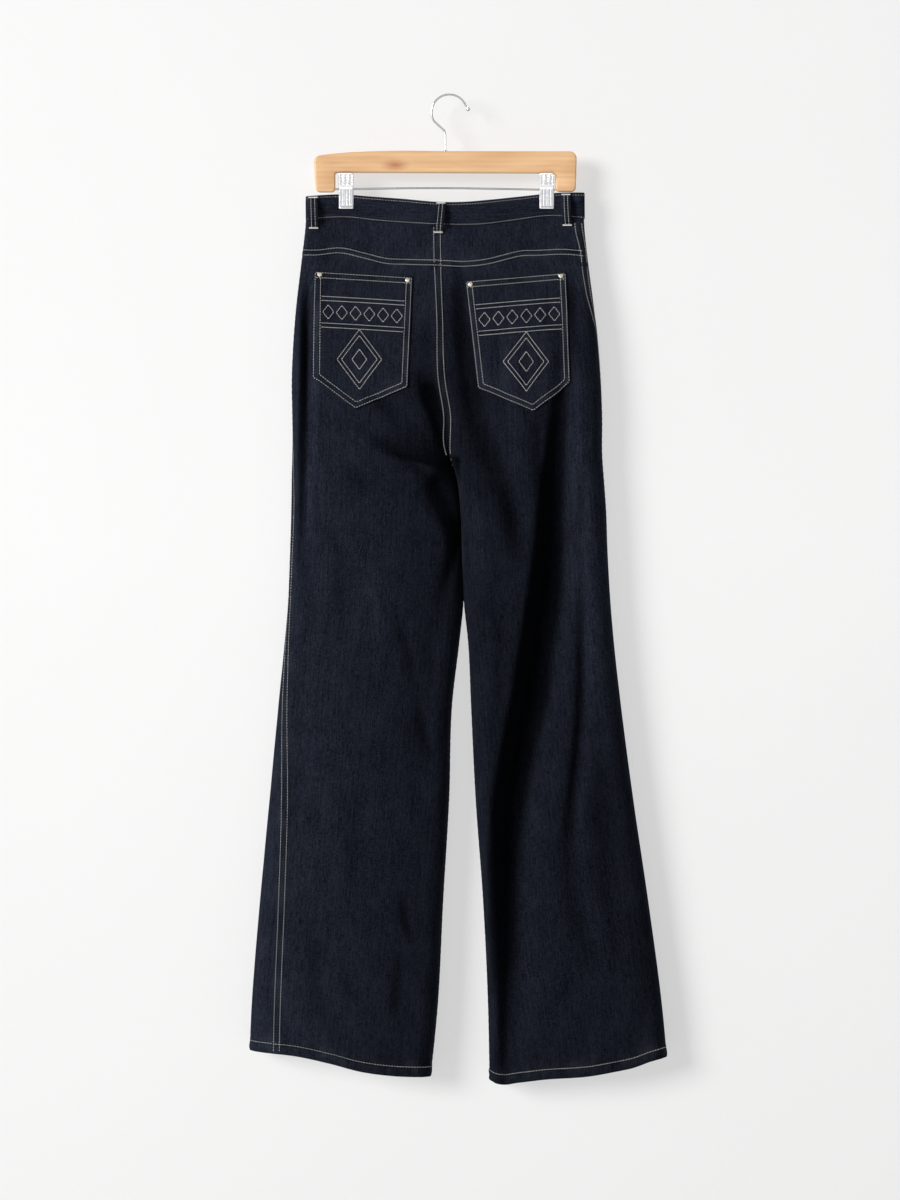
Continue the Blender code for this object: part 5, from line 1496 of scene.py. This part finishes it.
def makeJaw(side, face):
    facing = -1 if face == "back" else 1
    profile = clipCut["profile"]

    def place(u, v, inner):
        level = clipCut["top"] + v * clipCut["height"]
        out, flange = atLevel(profile, "out", level), atLevel(profile, "flange", level)
        half = clipCut["width"] / 2 * (1 - clipCut["narrow"] * smoothStep(0.85, 1.0, v))
        handle = smoothStep(0, 0.05, v)
        half = half - clipCut["topRound"] * (1 - np.sqrt(np.clip(1 - (1 - handle) ** 2, 0, 1)))
        bend = np.minimum(clipCut["bend"], flange * 0.9)
        flat, arc, turned = half - bend, bend * math.pi / 2, flange - bend
        whole = flat + arc + turned
        run = np.abs(u * 2 - 1) * whole
        sign = np.where(u < 0.5, -1.0, 1.0)
        angle = np.clip((run - flat) / arc, 0, 1) * math.pi / 2
        x = np.minimum(run, flat) + bend * np.sin(angle)
        y = out - bend * (1 - np.cos(angle)) - np.clip(run - flat - arc, 0, None)
        nx, ny = np.sin(angle), np.cos(angle)
        relief = np.zeros_like(x)
        wide, high, depth = clipCut["dimple"]
        for acrossAt in clipCut["dimpleAcross"]:
            for levelAt in clipCut["dimpleLevels"]:
                away = np.maximum(abs(x * sign - acrossAt) / wide, abs(level - levelAt) / high)
                relief = relief - depth * (1 - smoothStep(0.35, 1.0, away))
        wide, rise = clipCut["flute"]
        inFlutes = smoothStep(*clipCut["fluteTop"], level) * (1 - smoothStep(*clipCut["fluteLow"], level))
        for acrossAt in clipCut["fluteAcross"]:
            relief = relief + rise * inFlutes * np.exp(-((x * sign - acrossAt) / wide) ** 2)
        lip = clipCut["lipRise"] * smoothStep(*clipCut["lipTop"], level) * (
            1 - smoothStep(*clipCut["lipLow"], level))
        lift = np.where(inner, -clipCut["wall"], 0.0) + relief + lip
        x, y = (x + nx * lift) * sign, y + ny * lift
        spot = np.stack([x + clipCut["x"][side], facing * y, -level], -1)
        return spot, np.stack([x, level], -1), 0.0, 0.0

    name = "clip_" + side + "_" + face + "_jaw"
    across, down = evenShares(clipCut["columns"]), evenShares(clipCut["rows"])
    piece = doubleSkin(name + "_plate", across, down, place, 65)
    finishPiece(piece, "bright_steel", [steel, steel], name)


def makeSpring(side):
    t = np.linspace(0, 1, springCut["steps"])
    angle = t * tau * springCut["turns"]
    path, tangent = pathAndTurns(np.stack([
        clipCut["x"][side] + (t - 0.5) * springCut["length"], springCut["radius"] * np.cos(angle),
        -springCut["level"] + springCut["radius"] * np.sin(angle)], -1))
    rings = []
    for here, along, turn in zip(path, tangent, angle):
        radial = np.array([0, math.cos(turn), math.sin(turn)])
        other = np.cross(along, radial)
        rings.append([here + springCut["wire"] * (radial * math.cos(a) + other * math.sin(a))
                      for a in np.arange(springCut["sides"]) / springCut["sides"] * tau])
    name = "clip_" + side + "_spring"
    finishPiece(addPiece(name, meshOf(tubeOf(rings), name)), "bright_steel", [steel])


clothOf, stitchesOf = {}, {}
for side in ("left", "right"):
    for back in (True, False):
        face = "back" if back else "front"
        clothOf[face + "_leg_" + side] = makeLegPanel(side, back)
    stitchesOf["back_leg_" + side], stitchesOf["front_leg_" + side] = makeLegStitches(side)
    print("leg panels", side)
    clothOf["yoke_" + side], stitchesOf["yoke_" + side] = makeYoke(side)
    clothOf["pocket_" + side], stitchesOf["pocket_" + side] = makePocket(side)
    makeRivets(side)
    print("yoke and pocket", side)
clothOf["waistband"], stitchesOf["waistband"] = makeBand()
for name in loopNames:
    clothOf[name], stitchesOf[name] = makeLoop(name)
clothOf["fly"], stitchesOf["fly"] = makeFly()
makeButton()
print("waistband, loops and fly")

makeBar()
makeHook()
makeRod()
for side in ("left", "right"):
    makeJaw(side, "back")
    makeJaw(side, "front")
    makeSpring(side)
print("hanger")

# painted light: the wall glows though it is no lamp, lightening the shadows on it, and its glow is graded
# from one x or height in metres to another, with the glow at both, as painted fall-off of the light
stageLook = {
    "wallY": 0.030, "floorZ": -1.86, "bend": 0.25, "top": 1.6, "front": -7.5, "halfWidth": 4.0,
    "colour": (0.28, 0.28, 0.28, 1), "paintedGlow": 0.60, "patches": (0.985, 1.015),
    "paintedGlowAcross": (-0.6, 0.6, 1.03, 0.94), "paintedGlowLow": (-1.6, -0.6, -0.135, 0.0), "bumpMm": 0.15,
}


def makeStage():
    wallY, floorZ, bend = stageLook["wallY"], stageLook["floorZ"], stageLook["bend"]
    profile = [(wallY, stageLook["top"]), (wallY, floorZ + bend)]
    for angle in np.linspace(0, math.pi / 2, 14)[1:]:
        profile.append((wallY - bend * (1 - math.cos(angle)), floorZ + bend * (1 - math.sin(angle))))
    profile.append((stageLook["front"], floorZ))
    wall = bmesh.new()
    verts = [wall.verts.new((-stageLook["halfWidth"], y, z)) for y, z in profile]
    edges = [wall.edges.new(pair) for pair in zip(verts, verts[1:])]
    made = bmesh.ops.extrude_edge_only(wall, edges=edges)
    moved = [v for v in made["geom"] if isinstance(v, bmesh.types.BMVert)]
    bmesh.ops.translate(wall, verts=moved, vec=(2 * stageLook["halfWidth"], 0, 0))
    bmesh.ops.recalc_face_normals(wall, faces=wall.faces[:])
    wall.normal_update()
    if sum(face.normal.y for face in wall.faces) > 0:  # the extruded faces come in no fixed order
        bmesh.ops.reverse_faces(wall, faces=wall.faces[:])
    mesh = meshOf(wall, "backdrop")
    # painted light: a dark wall that glows, so the shadows cast on it stay light
    material, tree, shader = makeMaterial("wallPaint", Roughness=0.9, Specular_IOR_Level=0.0,
                                          Emission_Strength=stageLook["paintedGlow"])
    place = addNode(tree, "ShaderNodeTexCoord").outputs["Object"]
    patches = grey(tree, remap(tree, noise(tree, place, 1.6, 3.0), 0.3, 0.7, *stageLook["patches"]))
    tree.links.new(mixColour(tree, 1.0, stageLook["colour"], patches, "MULTIPLY"),
                   shader.inputs["Base Color"])
    parts = addNode(tree, "ShaderNodeSeparateXYZ", {0: place}).outputs
    # painted fall-off: the glow is brighter to the left and darker low down
    paintedGlowTone = calc(tree, "ADD", remap(tree, parts[0], *stageLook["paintedGlowAcross"]),
                remap(tree, parts[2], *stageLook["paintedGlowLow"]))
    tree.links.new(grey(tree, paintedGlowTone), shader.inputs["Emission Color"])
    bumped(tree, shader, noise(tree, place, 420.0, 3.0), stageLook["bumpMm"] * mm)
    # seen from behind, and for shadows, the wall isn't there
    clear = tree.nodes.new("ShaderNodeBsdfTransparent")
    behind = calc(tree, "MAXIMUM", addNode(tree, "ShaderNodeNewGeometry").outputs["Backfacing"],
                  addNode(tree, "ShaderNodeLightPath").outputs["Is Shadow Ray"])
    both = addNode(tree, "ShaderNodeMixShader", {0: behind, 1: shader.outputs[0], 2: clear.outputs[0]})
    tree.links.new(both.outputs[0], tree.nodes["Material Output"].inputs["Surface"])
    backdrop = bpy.data.objects.new("backdrop", mesh)
    mesh.materials.append(material)
    bpy.context.scene.collection.objects.link(backdrop)


lightLook = {
    "key": {"toward": (0.735, 0.63, -0.25), "spread": 24, "power": 3.9, "colour": (1.0, 0.995, 0.985)},
    "panel": {"at": (-0.4, -7.0, -0.3), "aim": (0, 0, -0.7), "size": 3.4, "power": 30,
              "colour": (1.0, 1.0, 1.0)},
    "side": {"at": (-2.3, -1.5, -0.2), "aim": (-0.3, 0, -0.7), "size": 1.4, "power": 9.0,
             "colour": (1.0, 1.0, 1.0)},
    "far": {"toward": (-0.62, -0.72, -0.32), "spread": 36, "power": 3.0, "colour": (1.0, 1.0, 1.0)},
    "world": (0.97, 0.98, 1.0, 1), "worldPower": 0.08, "worldShine": 0.55, "worldSeen": 0.85,
}


def addLamp(name, kind, colour, power, at, toward):
    light = bpy.data.lights.new(name, kind)
    light.energy = power
    light.color = colour
    lamp = bpy.data.objects.new(name, light)
    lamp.location = at
    lamp.rotation_euler = Vector(toward).to_track_quat("-Z", "Y").to_euler()
    bpy.context.scene.collection.objects.link(lamp)
    return light


def makeLights():
    for name, at in (("key", (-3, -3, 1)), ("far", (2, 3, 1))):  # the far one: the side by the wall
        look = lightLook[name]
        sun = addLamp(name, "SUN", look["colour"], look["power"], at, look["toward"])
        sun.angle = math.radians(look["spread"])
    for name in ("panel", "side"):
        look = lightLook[name]
        toward = Vector(look["aim"]) - Vector(look["at"])
        addLamp(name, "AREA", look["colour"], look["power"], look["at"], toward).size = look["size"]


def makeWorld():  # a pale room, brighter where metal mirrors it
    world = bpy.data.worlds.new("paleRoom")
    bpy.context.scene.world = world
    world.use_nodes = True
    tree = world.node_tree
    sky = tree.nodes["Background"]
    sky.inputs["Color"].default_value = lightLook["world"]
    path = addNode(tree, "ShaderNodeLightPath").outputs
    shine = remap(tree, path["Is Glossy Ray"], 0, 1, lightLook["worldPower"], lightLook["worldShine"])
    seen = calc(tree, "MULTIPLY", path["Is Camera Ray"], lightLook["worldSeen"])
    tree.links.new(calc(tree, "MAXIMUM", shine, seen), sky.inputs["Strength"])


cameraLook = {"at": (0.0, -6.4, -0.681), "lens": 142.2, "sensor": 36, "farthest": 60}


def makeCamera():
    camera = bpy.data.cameras.new("camera")
    camera.lens = cameraLook["lens"]
    camera.sensor_width = cameraLook["sensor"]
    camera.clip_end = cameraLook["farthest"]
    viewer = bpy.data.objects.new("camera", camera)
    viewer.location = cameraLook["at"]
    viewer.rotation_euler = (math.pi / 2, 0, 0)
    bpy.context.scene.collection.objects.link(viewer)
    bpy.context.scene.camera = viewer


makeStage()
makeLights()
makeWorld()
makeCamera()
bpy.context.scene.view_settings.view_transform = "Standard"
print("stage, light and camera")
